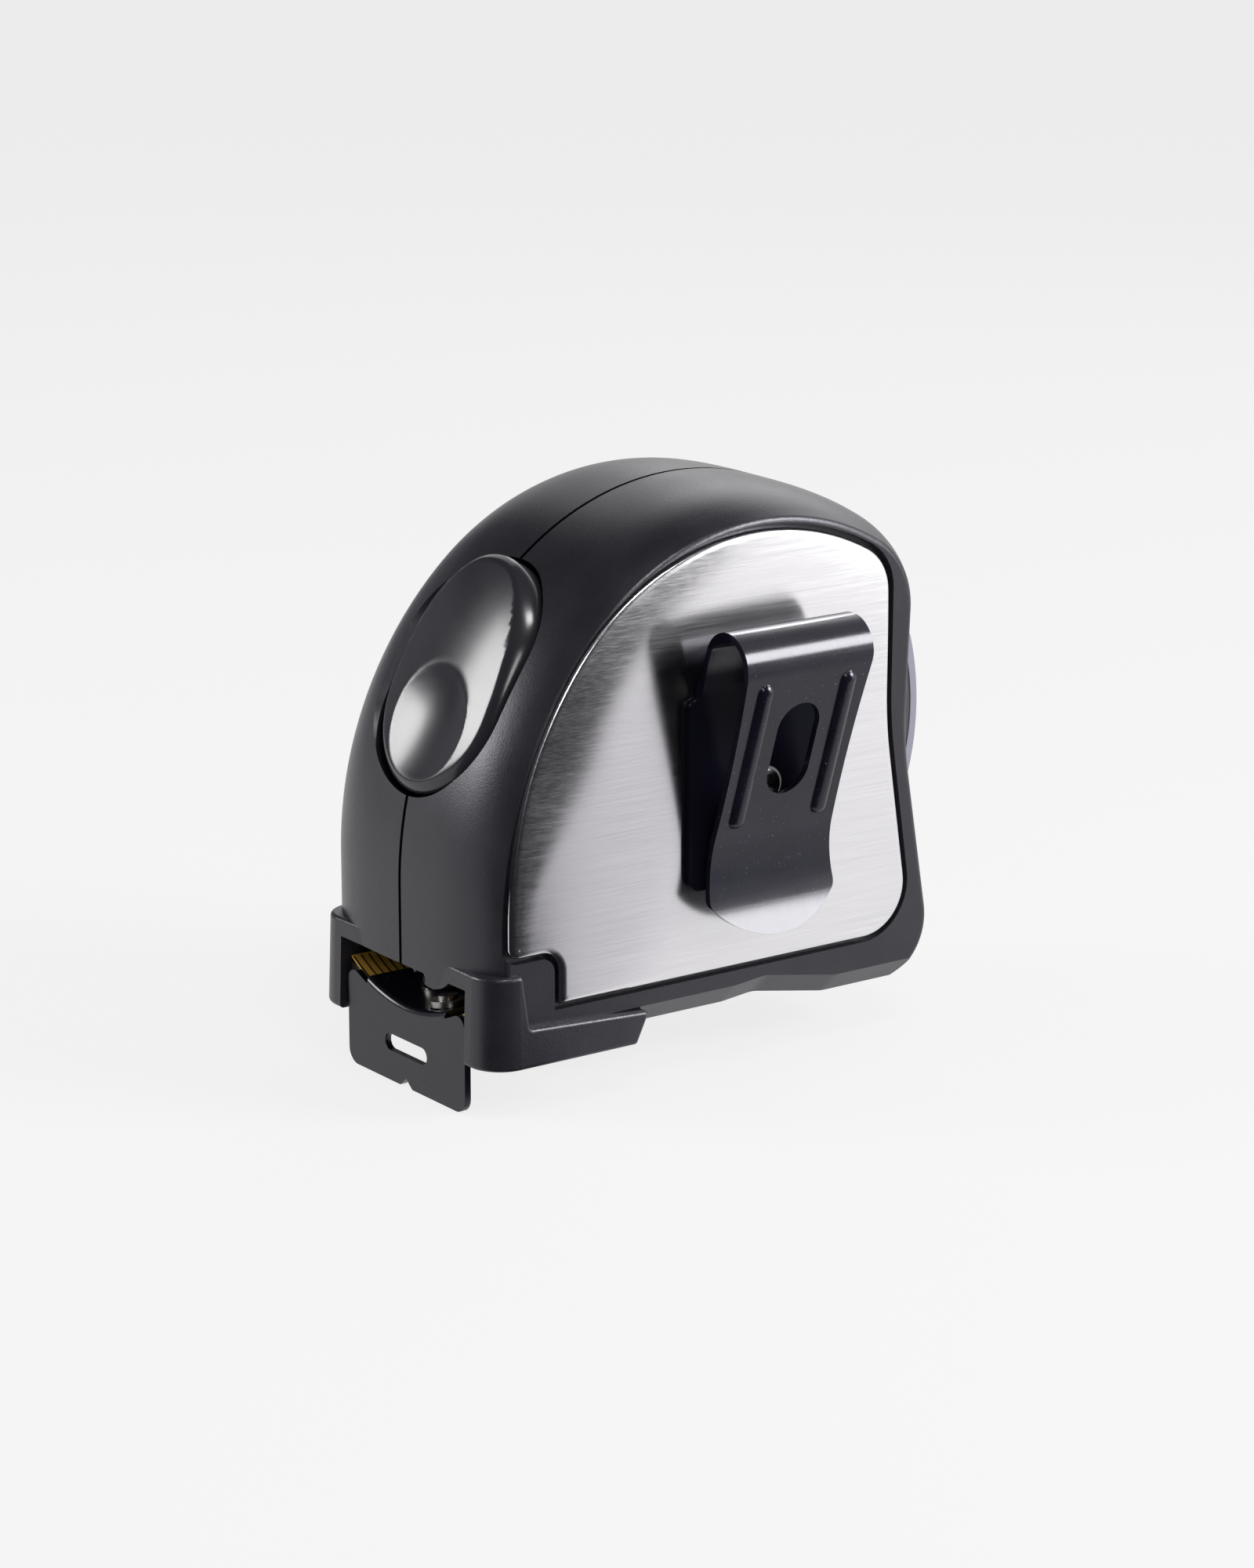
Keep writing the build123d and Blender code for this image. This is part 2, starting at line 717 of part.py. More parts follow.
def clip_band():
    # One bent strip: flat back leg, rolled top, sprung front leg, flared lip
    back_y = clip_face - clip_sheet / 2
    shoulder = (back_y, clip_shoulder)
    leave = on_loop(tangent_angle(clip_pinch, 1))
    meet = on_loop(tangent_angle(shoulder, -1))
    rise = Polyline((back_y, clip_back_low), shoulder, meet)
    roll = ThreePointArc(meet, on_loop(90), leave)
    lip_y = clip_pinch[0] + clip_lip_over * (clip_lip_side - clip_pinch[0])
    lip_z = clip_pinch[1] + clip_lip_over * (clip_lip_z - clip_pinch[1])
    leg = FilletPolyline(leave, clip_pinch, (lip_y, lip_z), radius=clip_lip_bend)
    band = trace(Wire([*rise.edges(), roll, *leg.edges()]), clip_sheet)
    return extrude(front_plane(clip_x - clip_width / 2) * band, clip_width)


def clip_rib():
    # Pressed bead that stands out of the front leg, in the leg's own plane
    top = on_loop(tangent_angle(clip_pinch, 1))
    run = math.hypot(top[0] - clip_pinch[0], top[1] - clip_pinch[1])
    up = ((top[0] - clip_pinch[0]) / run, (top[1] - clip_pinch[1]) / run)
    start = (clip_rib_low - clip_pinch[1]) / up[1]
    length = (clip_rib_high - clip_rib_low) / up[1]
    sink = clip_sheet / 2 + clip_rib_rise - clip_rib_radius
    bead = Pos(0, 0, length / 2) * Cylinder(clip_rib_radius, length)
    bead += Sphere(clip_rib_radius) + Pos(0, 0, length) * Sphere(clip_rib_radius)
    bead = Pos(sink, 0, start) * bead
    bead &= Pos(clip_sheet, 0, run / 2) * Box(2 * clip_sheet, 4 * clip_rib_radius, 2 * run)
    leg = Plane(origin=(clip_x, *clip_pinch), x_dir=(0, up[1], -up[0]), z_dir=(0, *up))
    return leg * bead


def clip_leg_outline():
    # Waisted front leg with its round lip, seen from the side of the case
    half = clip_width / 2
    top = clip_loop_z + 2 * clip_loop_radius
    corner_z = clip_lip_z + clip_lip_sag
    middle = (clip_loop_z + corner_z) / 2
    left = ThreePointArc((clip_x - half, clip_loop_z), (clip_x - half + clip_waist, middle),
                         (clip_x - half, corner_z))
    lip = ThreePointArc(left @ 1, (clip_x, clip_lip_z), (clip_x + half, corner_z))
    right = ThreePointArc(lip @ 1, (clip_x + half - clip_waist, middle), (clip_x + half, clip_loop_z))
    roll = Polyline(right @ 1, (clip_x + half, top), (clip_x - half, top), left @ 0)
    outline = make_face([left, lip, right, roll])
    corners = [outline.vertices().sort_by_distance(lip @ end)[0] for end in (0, 1)]
    return fillet(corners, clip_corner)


def belt_clip():
    back_height = clip_shoulder - clip_back_low
    back = RectangleRounded(clip_back_width, back_height, clip_corner)
    back = Pos(clip_x, clip_back_low + back_height / 2) * back
    clip = clip_band() + slab(back, clip_face - clip_sheet, clip_face)
    for side in (-1, 1):
        clip += Pos(side * clip_rib_spread / 2, 0, 0) * clip_rib()
    far = clip_loop_side + 2 * clip_loop_radius
    slot = Pos(clip_x, clip_slot_z) * Rot(0, 0, 90) * SlotOverall(clip_slot_length, clip_slot_width)
    clip -= slab(slot, clip_face + clip_sheet, far)
    clip -= rod(reel_x, reel_z, screw_radius + slip, 0, clip_face + clip_sheet)
    around = block(clip_x - clip_width, clip_x + clip_width, clip_face, far, 0, clip_loop_z + clip_loop_radius)
    return clip - (around - slab(clip_leg_outline(), clip_face, far))


# Screws
def screw(x, z, head_y, length):
    # Headed outward, towards the far end of Y
    shank = rod(x, z, screw_radius, head_y - length, head_y)
    head = rod(x, z, screw_head_radius, head_y, head_y + screw_head_height)
    rim = head.faces().sort_by(Axis.Y)[-1].edges()
    return shank + fillet(rim, screw_head_height / 2)


def clip_screw():
    seat = clip_face + touch
    return screw(reel_x, reel_z, seat, seat - chamber_half_depth + clip_screw_length - play)


def case_screws():
    length = screw_seat + touch + screw_bite
    return Compound([mirror(screw(x, z, screw_seat + touch, length), Plane.XZ).solid() for x, z in boss_places])


pieces = [left_case_half, right_case_half, left_side_panel, right_side_panel, belt_clip, clip_screw,
          case_screws, strap_bar, lock_button, lock_lever, brake_pad, button_pin, button_spring, blade,
          hook_rivets, end_hook, blade_guide, blade_coil, reel_drum, drum_cover, left_reel_liner,
          right_reel_liner, centre_post, power_spring]

for piece in pieces:
    export_step(piece(), "parts/" + piece.__name__ + ".step")
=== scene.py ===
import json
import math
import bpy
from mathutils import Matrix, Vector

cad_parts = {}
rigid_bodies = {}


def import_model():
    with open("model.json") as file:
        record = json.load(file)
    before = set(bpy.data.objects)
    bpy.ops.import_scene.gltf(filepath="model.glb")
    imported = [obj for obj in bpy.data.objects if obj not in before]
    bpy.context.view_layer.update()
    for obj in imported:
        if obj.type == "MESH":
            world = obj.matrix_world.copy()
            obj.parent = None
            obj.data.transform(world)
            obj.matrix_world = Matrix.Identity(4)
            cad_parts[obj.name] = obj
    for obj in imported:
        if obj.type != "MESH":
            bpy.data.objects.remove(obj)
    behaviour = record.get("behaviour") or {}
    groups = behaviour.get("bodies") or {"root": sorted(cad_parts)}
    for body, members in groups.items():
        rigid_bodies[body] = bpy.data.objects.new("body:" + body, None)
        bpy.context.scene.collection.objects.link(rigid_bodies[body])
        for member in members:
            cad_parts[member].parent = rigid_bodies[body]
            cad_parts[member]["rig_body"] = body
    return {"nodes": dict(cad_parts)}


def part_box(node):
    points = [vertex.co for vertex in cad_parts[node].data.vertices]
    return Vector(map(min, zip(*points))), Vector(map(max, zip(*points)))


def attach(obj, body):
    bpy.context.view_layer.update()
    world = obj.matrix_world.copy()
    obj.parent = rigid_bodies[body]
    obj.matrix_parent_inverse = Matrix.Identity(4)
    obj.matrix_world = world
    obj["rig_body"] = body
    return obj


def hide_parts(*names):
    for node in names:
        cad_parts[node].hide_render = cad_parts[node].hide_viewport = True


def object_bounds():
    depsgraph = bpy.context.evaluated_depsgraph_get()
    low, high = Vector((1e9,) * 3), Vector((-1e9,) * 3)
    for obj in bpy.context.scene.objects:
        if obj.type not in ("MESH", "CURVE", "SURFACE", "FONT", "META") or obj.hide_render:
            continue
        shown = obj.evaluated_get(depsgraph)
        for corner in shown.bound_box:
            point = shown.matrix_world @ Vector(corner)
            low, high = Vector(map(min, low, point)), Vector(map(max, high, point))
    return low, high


bl_info = {
    "name": "Pocket Tape Measure",
    "version": (1, 0, 0),
    "blender": (4, 5, 0),
    "location": "View3D > Sidebar > Tape Measure",
    "description": "Finishes of a pocket tape measure and a plain studio around it",
    "category": "Object",
}

import bmesh
import bpy
import numpy as np
from bpy.props import FloatProperty, FloatVectorProperty, IntProperty, PointerProperty
from mathutils import Vector
from mathutils.geometry import delaunay_2d_cdt

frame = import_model()
CAD_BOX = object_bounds()
MM = 0.001
WELD = 0.002 * MM  # corners closer than this are joined
FLAT = math.radians(0.25)  # faces that turn by less than this are made one


# Node trees
class Link:
    """A socket that takes part in Python sums."""

    def __init__(self, wiring, socket):
        self.wiring = wiring
        self.socket = socket

    def math(self, operation, *values):
        return self.wiring.node("ShaderNodeMath", {"operation": operation}, dict(enumerate(values)))

    def __add__(self, other):
        return self.math("ADD", self, other)

    __radd__ = __add__

    def __sub__(self, other):
        return self.math("SUBTRACT", self, other)

    def __rsub__(self, other):
        return self.math("SUBTRACT", other, self)

    def __mul__(self, other):
        return self.math("MULTIPLY", self, other)

    __rmul__ = __mul__

    def __truediv__(self, other):
        return self.math("DIVIDE", self, other)

    def __rtruediv__(self, other):
        return self.math("DIVIDE", other, self)

    def __mod__(self, other):
        return self.math("FLOORED_MODULO", self, other)

    def __rmod__(self, other):
        return self.math("FLOORED_MODULO", other, self)

    def __pow__(self, other):
        return self.math("POWER", self, other)

    def __rpow__(self, other):
        return self.math("POWER", other, self)

    def __gt__(self, other):
        return self.math("GREATER_THAN", self, other)

    def __lt__(self, other):
        return self.math("LESS_THAN", self, other)

    def __abs__(self):
        return self.math("ABSOLUTE", self)

    def blend(self, low, high):
        """0 below low, 1 above high, with a soft step between."""
        settings = {"interpolation_type": "SMOOTHSTEP", "clamp": True}
        inputs = {"Value": self, "From Min": low, "From Max": high}
        return self.wiring.node("ShaderNodeMapRange", settings, inputs)


class Wiring:
    """A node tree that is filled from Python."""

    def __init__(self, tree):
        self.tree = tree
        tree.nodes.clear()

    def node(self, kind, settings, inputs, output=0):
        made = self.tree.nodes.new(kind)
        for name, value in settings.items():
            setattr(made, name, value)
        for name, value in inputs.items():
            self.feed(made.inputs[name], value)
        return Link(self, made.outputs[output]) if made.outputs else made

    def feed(self, socket, value):
        if isinstance(value, Link):
            self.tree.links.new(value.socket, socket)
        elif isinstance(value, list):
            for part in value:
                self.feed(socket, part)
        elif socket.type == "RGBA" and len(value) == 3:
            socket.default_value = (*value, 1.0)
        else:
            socket.default_value = value

    def seen(self):
        """1 for what the camera sees, straight, reflected or through glass, and 0 for other light."""
        rays = ("Is Camera Ray", "Is Glossy Ray", "Is Transmission Ray")
        straight, reflected, through = [self.node("ShaderNodeLightPath", {}, {}, ray) for ray in rays]
        return through.math("MAXIMUM", straight.math("MAXIMUM", straight, reflected), through)


class Recipe(Wiring):
    """A material on object coordinates."""

    def __init__(self, name):
        self.material = bpy.data.materials.new(name)
        self.material.use_nodes = True
        super().__init__(self.material.node_tree)
        self.place = self.node("ShaderNodeTexCoord", {}, {}, "Object")

    def axis(self, name):
        return self.node("ShaderNodeSeparateXYZ", {}, {"Vector": self.place}, name)

    def noise(self, size, stretch=(1, 1, 1), detail=2.0, roughness=0.5):
        place = self.node("ShaderNodeMapping", {}, {"Vector": self.place, "Scale": stretch})
        inputs = {"Vector": place, "Scale": 1 / size, "Detail": detail, "Roughness": roughness}
        return self.node("ShaderNodeTexNoise", {"noise_dimensions": "3D"}, inputs, "Fac")

    def mix(self, factor, first, second):
        settings = {"data_type": "RGBA", "blend_type": "MIX"}
        return self.node("ShaderNodeMix", settings, {0: factor, 6: first, 7: second}, 2)

    def bump(self, height, distance):
        return self.node("ShaderNodeBump", {}, {"Height": height, "Distance": distance})

    def shader(self, **sockets):
        inputs = {name.replace("_", " "): value for name, value in sockets.items()}
        return self.node("ShaderNodeBsdfPrincipled", {}, inputs)

    def finish(self, **sockets):
        return self.surface(self.shader(**sockets))

    def surface(self, shader):
        self.node("ShaderNodeOutputMaterial", {}, {"Surface": shader})
        return self.material


def tint(colour, factor):
    return tuple(min(1.0, channel * factor) for channel in colour)


# Finishes
def case_plastic(colour, seam):
    """Moulded case plastic: fine eroded grain, faint clouds of handling, and painted shade along the parting
    groove.
    """
    recipe = Recipe("case_plastic")
    fine = recipe.noise(0.2 * MM, detail=3.0)
    cloud = recipe.noise(9 * MM, detail=4.0)
    shade = recipe.mix(cloud.blend(0.3, 0.75), tint(colour, 0.85), tint(colour, 1.15))
    dust = recipe.noise(0.3 * MM, detail=1.0).blend(0.7, 0.8)
    shade = recipe.mix(dust * 0.3, shade, tint(colour, 3.0))
    rough = 0.34 + (cloud - 0.5) * 0.14 + (fine - 0.5) * 0.12
    # The bluish specular tint is painted light: it tints the case's reflections blue.
    plastic = recipe.shader(Base_Color=shade, Roughness=rough, Specular_Tint=(0.93, 0.92, 1.0),
                            Normal=recipe.bump(fine, 0.02 * MM))
    # Painted shade: a near-black diffuse mixed over the parting groove, in place of the shade inside it.
    groove_shade = recipe.node("ShaderNodeBsdfDiffuse", {}, {"Color": tint(colour, 0.1)})
    line = 1 - abs(recipe.axis("Y")).blend(seam * 0.7, seam)
    return recipe.surface(recipe.node("ShaderNodeMixShader", {}, {0: line * 0.95, 1: plastic, 2: groove_shade}))


def moulded_plastic(name, colour, roughness):
    """Plain moulded plastic of the pieces inside."""
    recipe = Recipe(name)
    fine = recipe.noise(0.4 * MM, detail=3.0)
    cloud = recipe.noise(6 * MM, detail=3.0)
    shade = recipe.mix(cloud.blend(0.3, 0.75), tint(colour, 0.88), tint(colour, 1.1))
    return recipe.finish(Base_Color=shade, Roughness=roughness + (cloud - 0.5) * 0.15,
                         Normal=recipe.bump(fine, 0.006 * MM))


def button_plastic(colour):
    """Polished plastic with a soft ripple and a few hairlines."""
    recipe = Recipe("button_plastic")
    ripple = recipe.noise(5 * MM, detail=1.0)
    hair = recipe.noise(0.12 * MM, stretch=(1, 0.03, 1), detail=1.0).blend(0.66, 0.72)
    shade = recipe.mix(ripple, tint(colour, 0.9), tint(colour, 1.1))
    return recipe.finish(Base_Color=shade, Roughness=0.2 + hair * 0.04 + (ripple - 0.5) * 0.04,
                         Normal=recipe.bump(ripple, 0.004 * MM))


def brushed_steel(colour):
    """Sheet steel brushed lengthways: fine streaks, a few deeper ones, and a soft cloud."""
    recipe = Recipe("panel_steel")
    fine = recipe.noise(0.14 * MM, stretch=(0.012, 1, 1), detail=3.0, roughness=0.6)
    broad = recipe.noise(0.9 * MM, stretch=(0.03, 1, 1), detail=3.0)
    cloud = recipe.noise(14 * MM, detail=2.0)
    shade = recipe.mix(fine.blend(0.25, 0.75), tint(colour, 0.94), tint(colour, 1.04))
    shade = recipe.mix(broad.blend(0.55, 0.8) * 0.3, shade, tint(colour, 0.88))
    rough = 0.2 + (fine - 0.5) * 0.12 + (broad - 0.5) * 0.05 + (cloud - 0.5) * 0.05
    return recipe.finish(Base_Color=shade, Roughness=rough, Metallic=1.0,
                         Anisotropic=0.4, Anisotropic_Rotation=0.25,
                         Normal=recipe.bump(fine + broad * 0.3, 0.004 * MM))


def black_paint(name, colour, roughness, inner=-1.0, top=1.0, over=0.0):
    """Smooth satin paint over sheet steel, with faint drawing lines and a few bright specks of wear.

    Faces nearer the middle than the inner distance are mostly a dull dark diffuse: painted shade in the
    narrow space between the clip and the panel, and over the roll's top, where it takes away a reflected
    highlight.
    Above the top height that distance is greater by the over length."""
    recipe = Recipe(name)
    line = recipe.noise(0.25 * MM, stretch=(1, 0.05, 0.05), detail=2.0)
    patch = recipe.noise(5 * MM, detail=4.0)
    shade = recipe.mix(patch.blend(0.35, 0.7), tint(colour, 0.85), tint(colour, 1.2))
    speck = recipe.noise(0.2 * MM, detail=0.0).blend(0.8, 0.85)
    shade = recipe.mix(speck * 0.2, shade, (0.3, 0.3, 0.31))
    rough = roughness + (patch - 0.5) * 0.08 + (line - 0.5) * 0.06
    # The bluish specular tint is painted light: it tints the paint's reflections blue.
    satin = recipe.shader(Base_Color=shade, Roughness=rough, Specular_IOR_Level=0.42,
                          Specular_Tint=(0.95, 0.95, 1.0), Normal=recipe.bump(line, 0.002 * MM))
    # Painted shade: a dull near-black diffuse, mixed in nearer the middle than the inner distance.
    dull = recipe.node("ShaderNodeBsdfDiffuse", {}, {"Color": tint(colour, 0.8)})
    side = recipe.axis("Y") - recipe.axis("Z").blend(top, top + 0.6 * MM) * over
    painted_shade_mask = 1 - side.blend(inner, inner + 0.8 * MM)
    return recipe.surface(recipe.node("ShaderNodeMixShader", {}, {0: painted_shade_mask * 0.85, 1: satin, 2: dull}))


def bare_steel(name, colour, roughness):
    """Plain drawn or rolled steel."""
    recipe = Recipe(name)
    fine = recipe.noise(0.12 * MM, detail=2.0)
    cloud = recipe.noise(4 * MM, detail=3.0)
    shade = recipe.mix(cloud.blend(0.3, 0.7), tint(colour, 0.85), tint(colour, 1.1))
    return recipe.finish(Base_Color=shade, Roughness=roughness + (fine - 0.5) * 0.1, Metallic=1.0,
                         Normal=recipe.bump(fine, 0.0006 * MM))


def strap_steel(colour, edge_shade_colour, half_width):
    """Grey strip with painted shade along its two long edges."""
    recipe = Recipe("bar_steel")
    streak = recipe.noise(0.3 * MM, stretch=(1, 1, 0.05), detail=2.0)
    # Painted shade: the strip darkens to the edge colour near its two long edges.
    edge = abs(recipe.axis("Y")).blend(half_width - 0.35 * MM, half_width - 0.15 * MM)
    shade = recipe.mix(streak.blend(0.3, 0.7), tint(colour, 0.9), tint(colour, 1.08))
    shade = recipe.mix(edge, shade, edge_shade_colour)
    return recipe.finish(Base_Color=shade, Roughness=0.42 + (streak - 0.5) * 0.2)


def blade_lacquer(colour):
    """Yellow lacquer over spring steel, duller where it has run through the mouth."""
    recipe = Recipe("blade_yellow")
    run = recipe.noise(0.8 * MM, stretch=(0.04, 1, 1), detail=3.0)
    cloud = recipe.noise(6 * MM, detail=3.0)
    shade = recipe.mix(cloud.blend(0.3, 0.7), tint(colour, 0.85), tint(colour, 1.08))
    shade = recipe.mix(run.blend(0.62, 0.72) * 0.4, shade, tint(colour, 0.55))
    return recipe.finish(Base_Color=shade, Roughness=0.38 + (run - 0.5) * 0.2,
                         Normal=recipe.bump(run, 0.004 * MM))


def ink(colour):
    """Printed ink, slightly worn."""
    recipe = Recipe("scale_ink")
    wear = recipe.noise(0.3 * MM, detail=2.0).blend(0.6, 0.8)
    shade = recipe.mix(wear * 0.2, colour, (0.1, 0.08, 0.05))
    return recipe.finish(Base_Color=shade, Roughness=0.5)


# Mesh tools
def add_object(name, data):
    made = bpy.data.objects.new(name, data)
    bpy.context.scene.collection.objects.link(made)
    return made


def settle(made):
    """Turns the modifiers' result into a plain mesh and removes them."""
    graph = bpy.context.evaluated_depsgraph_get()
    result = made.evaluated_get(graph)
    mesh = bpy.data.meshes.new_from_object(result, preserve_all_data_layers=True, depsgraph=graph)
    made.modifiers.clear()
    made.data = mesh
    mesh.name = made.name
    return made


def merged_shape(node):
    """A joined copy of a node's loose triangles, with its flat faces made whole."""
    shape = bmesh.new()
    shape.from_mesh(frame["nodes"][node].data)
    bmesh.ops.remove_doubles(shape, verts=shape.verts, dist=WELD)
    bmesh.ops.dissolve_limit(shape, angle_limit=FLAT, verts=shape.verts, edges=shape.edges)
    return shape


def bevelled(made, width):
    """Rounds the edges that turn by more than 50 degrees."""
    edge = made.modifiers.new("edge", "BEVEL")
    edge.width = width
    edge.segments = 2
    edge.limit_method = "ANGLE"
    edge.angle_limit = math.radians(50)
    edge.use_clamp_overlap = True
    return settle(made)


def shaded(made, angle=32.0):
    """Smooth shading, with edges that turn by more than the angle kept sharp."""
    mesh = made.data
    mesh.polygons.foreach_set("use_smooth", [True] * len(mesh.polygons))
    mesh.set_sharp_from_angle(angle=math.radians(angle))
    normals = made.modifiers.new("normals", "WEIGHTED_NORMAL")
    normals.keep_sharp = True
    return settle(made)


def stand_for(made, node):
    """Lets a piece take a CAD node's place and body."""
    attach(made, frame["nodes"][node]["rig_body"])
    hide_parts(node)
    return made


def from_shape(name, shape, material):
    mesh = bpy.data.meshes.new(name)
    shape.to_mesh(mesh)
    shape.free()
    mesh.materials.clear()
    mesh.materials.append(material)
    return add_object(name, mesh)


def dress(node, name, material, bevel=0.0):
    """A piece that stands for a CAD node: a smooth copy, or one with rounded edges if a bevel is given."""
    if bevel:
        made = shaded(bevelled(from_shape(name, merged_shape(node), material), bevel))
    else:
        made = smooth_copy(node, name, material)
    return stand_for(made, node)


def smooth_copy(node, name, material):
    """A merged copy of a node that keeps the smooth normals of its CAD faces."""
    source = frame["nodes"][node].data
    shape = bmesh.new()
    shape.from_mesh(source)
    kept = shape.loops.layers.float_vector.new("kept")
    for face in shape.faces:
        for loop in face.loops:
            normal = source.corner_normals[loop.index].vector
            loop[kept] = normal if normal.dot(face.normal) > 0.2 else face.normal
    bmesh.ops.remove_doubles(shape, verts=shape.verts, dist=WELD)
    made = from_shape(name, shape, material)
    mesh = made.data
    mesh.polygons.foreach_set("use_smooth", [True] * len(mesh.polygons))
    values = mesh.attributes["kept"].data
    mesh.normals_split_custom_set([tuple(value.vector) for value in values])
    mesh.attributes.remove(mesh.attributes["kept"])
    return made


def paint(node, material):
    """Gives a CAD node that keeps its own shape a finish."""
    slots = frame["nodes"][node].data.materials
    slots.clear()
    slots.append(material)


def split_line(points, step):
    """A closed line's points with none further apart than the step."""
    line = []
    for start, end in zip(points, np.roll(points, -1, 0)):
        count = max(1, math.ceil(np.hypot(*(end - start)) / step))
        line += [start + (end - start) * k / count for k in range(count)]
    return np.array(line)


def rim_distance(points, rim):
    """How far each point lies from the rim."""
    run = np.roll(rim, -1, 0) - rim
    offset = points[:, None, :] - rim[None]
    share = np.clip((offset * run).sum(2) / (run ** 2).sum(1), 0, 1)
    away = offset - share[..., None] * run
    return np.hypot(away[..., 0], away[..., 1]).min(1)


def inside_rim(points, rim):
    """Whether each point lies inside the rim."""
    after = np.roll(rim, -1, 0)
    x, y = points[:, None, 0], points[:, None, 1]
    spans = (rim[:, 1] > y) != (after[:, 1] > y)
    rise = np.where(after[:, 1] == rim[:, 1], 1.0, after[:, 1] - rim[:, 1])
    cross = rim[:, 0] + (y - rim[:, 1]) / rise * (after[:, 0] - rim[:, 0])
    return (spans & (x < cross)).sum(1) % 2 == 1


def inner_rings(rim, offsets):
    """Copies of the rim drawn in by each offset."""
    after = np.roll(rim, -1, 0)
    run = after - np.roll(rim, 1, 0)
    turn = np.sign((rim[:, 0] * after[:, 1] - rim[:, 1] * after[:, 0]).sum())
    inward = np.stack([-run[:, 1], run[:, 0]], 1) * turn / np.hypot(run[:, 0], run[:, 1])[:, None]
    return [rim + inward * offset for offset in offsets]


RING_OFFSETS = [step * MM for step in (0.04, 0.12, 0.24, 0.4, 0.6, 0.9, 1.2, 1.5, 1.8)]
INSIDE_WITHOUT_HOLES = 2  # what delaunay_2d_cdt gives back: the triangles inside the outline, holes left open
JOIN_WITHIN = 1e-4  # in millimetres


def formed_sheet(name, material, loops, spacing, extra, height, place, depth):
    """A closed piece: a fine top over an outline with holes, with walls and a flat back.

    height forms the top, from points and their distance from the rim.
    place turns plane points and heights into space."""
    rim = loops[0]
    low, high = rim.min(0), rim.max(0)
    columns = np.arange(low[0], high[0], spacing)
    rows = np.arange(low[1], high[1], spacing)
    grid = np.array([(x + spacing / 2 * (k % 2), y) for k, y in enumerate(rows) for x in columns])
    inner = np.concatenate(inner_rings(rim, RING_OFFSETS) + [grid] + extra)
    least = np.full(len(inner), RING_OFFSETS[-1] + spacing / 2)
    least[:len(rim) * len(RING_OFFSETS)] = np.repeat(RING_OFFSETS, len(rim)) * 0.95
    keep = inside_rim(inner, rim) & (rim_distance(inner, rim) > least)
    for hole in loops[1:]:
        keep &= ~inside_rim(inner, hole) & (rim_distance(inner, hole) > spacing / 4)
    points = np.concatenate(loops + [inner[keep]])
    borders, first = [], 0
    for loop in loops:
        borders.append(list(range(first, first + len(loop))))
        first += len(loop)
    spots = [Vector(point) for point in points / MM]
    flat, _, faces, _, _, _ = delaunay_2d_cdt(spots, [], borders, INSIDE_WITHOUT_HOLES, JOIN_WITHIN)
    points = np.array([tuple(point) for point in flat]) * MM
    tall = height(points, rim_distance(points, rim))
    shape = bmesh.new()
    upper = [shape.verts.new(point) for point in place(points, tall)]
    lower = [shape.verts.new(point) for point in place(points, np.full(len(points), depth))]
    sides = {}
    for face in faces:
        shape.faces.new([upper[k] for k in face])
        shape.faces.new([lower[k] for k in reversed(face)])
        for start, end in zip(face, face[1:] + face[:1]):
            sides[start, end] = True
    for start, end in sides:
        if (end, start) not in sides:
            shape.faces.new((upper[end], upper[start], lower[start], lower[end]))
    loose = [vert for vert in shape.verts if not vert.link_faces]
    bmesh.ops.delete(shape, geom=loose, context="VERTS")
    bmesh.ops.recalc_face_normals(shape, faces=shape.faces)
    return shaded(from_shape(name, shape, material), 50.0)


def soft_least(first, second, width):
    """The lesser of two heights, rounded where they cross."""
    share = np.clip(0.5 + (second - first) / (2 * width), 0, 1)
    return second * (1 - share) + first * share - width * share * (1 - share)


def edge_fall(distance, radius):
    """How far a rounded edge has fallen at a distance from the rim."""
    inward = np.clip(radius - distance, 0, radius)
    return radius - np.sqrt(radius ** 2 - inward ** 2)


def soft_step(value, low, high):
    """0 below low, 1 above high, with a soft step between."""
    share = np.clip((value - low) / (high - low), 0, 1)
    return share * share * (3 - 2 * share)


# Settings
def colour_setting(name, description, default):
    return FloatVectorProperty(name=name, description=description, default=default,
                               size=3, subtype="COLOR", min=0.0, max=1.0)


def length_setting(name, description, millimetres):
    return FloatProperty(name=name, description=description, default=millimetres * MM,
                         unit="LENGTH", precision=5)


def angle_setting(name, description, degrees):
    return FloatProperty(name=name, description=description, default=math.radians(degrees),
                         subtype="ANGLE")


class TapeFinishes(bpy.types.PropertyGroup):
    """Colours of the tape measure."""

    case: colour_setting("Case", "Moulded plastic of the case", (0.0108, 0.01, 0.0135))
    button: colour_setting("Button", "Polished plastic of the lock button", (0.016, 0.016, 0.02))
    panel: colour_setting("Panel", "Brushed steel of the sides", (0.79, 0.775, 0.8))
    clip: colour_setting("Clip", "Black paint of the belt clip", (0.0045, 0.0043, 0.009))
    hook: colour_setting("Hook", "Black paint of the end hook", (0.0033, 0.0032, 0.006))
    screw: colour_setting("Screw", "Dark steel of the clip's screw", (0.2, 0.2, 0.21))
    strap: colour_setting("Strap bar", "Grey face of the strap bar", (0.48, 0.48, 0.5))
    # Colour of the painted shade on the strap bar's two long edges.
    strap_edge: colour_setting("Strap bar edge", "Dark edge of the strap bar", (0.16, 0.16, 0.2))
    blade: colour_setting("Blade", "Lacquer of the blade", (0.47, 0.27, 0.045))
    scale: colour_setting("Scale", "Ink of the scale", (0.008, 0.007, 0.006))
    rivet: colour_setting("Rivet", "Steel of the rivets", (0.34, 0.325, 0.31))
    inner: colour_setting("Inner mouldings", "Plastic of the reel and lever", (0.5, 0.5, 0.48))
    dark: colour_setting("Dark mouldings", "Plastic of the guide and liners", (0.02, 0.02, 0.02))
    spring: colour_setting("Springs", "Steel of the springs and pin", (0.45, 0.45, 0.46))
    pad: colour_setting("Brake pad", "Rubber of the brake pad", (0.025, 0.025, 0.025))


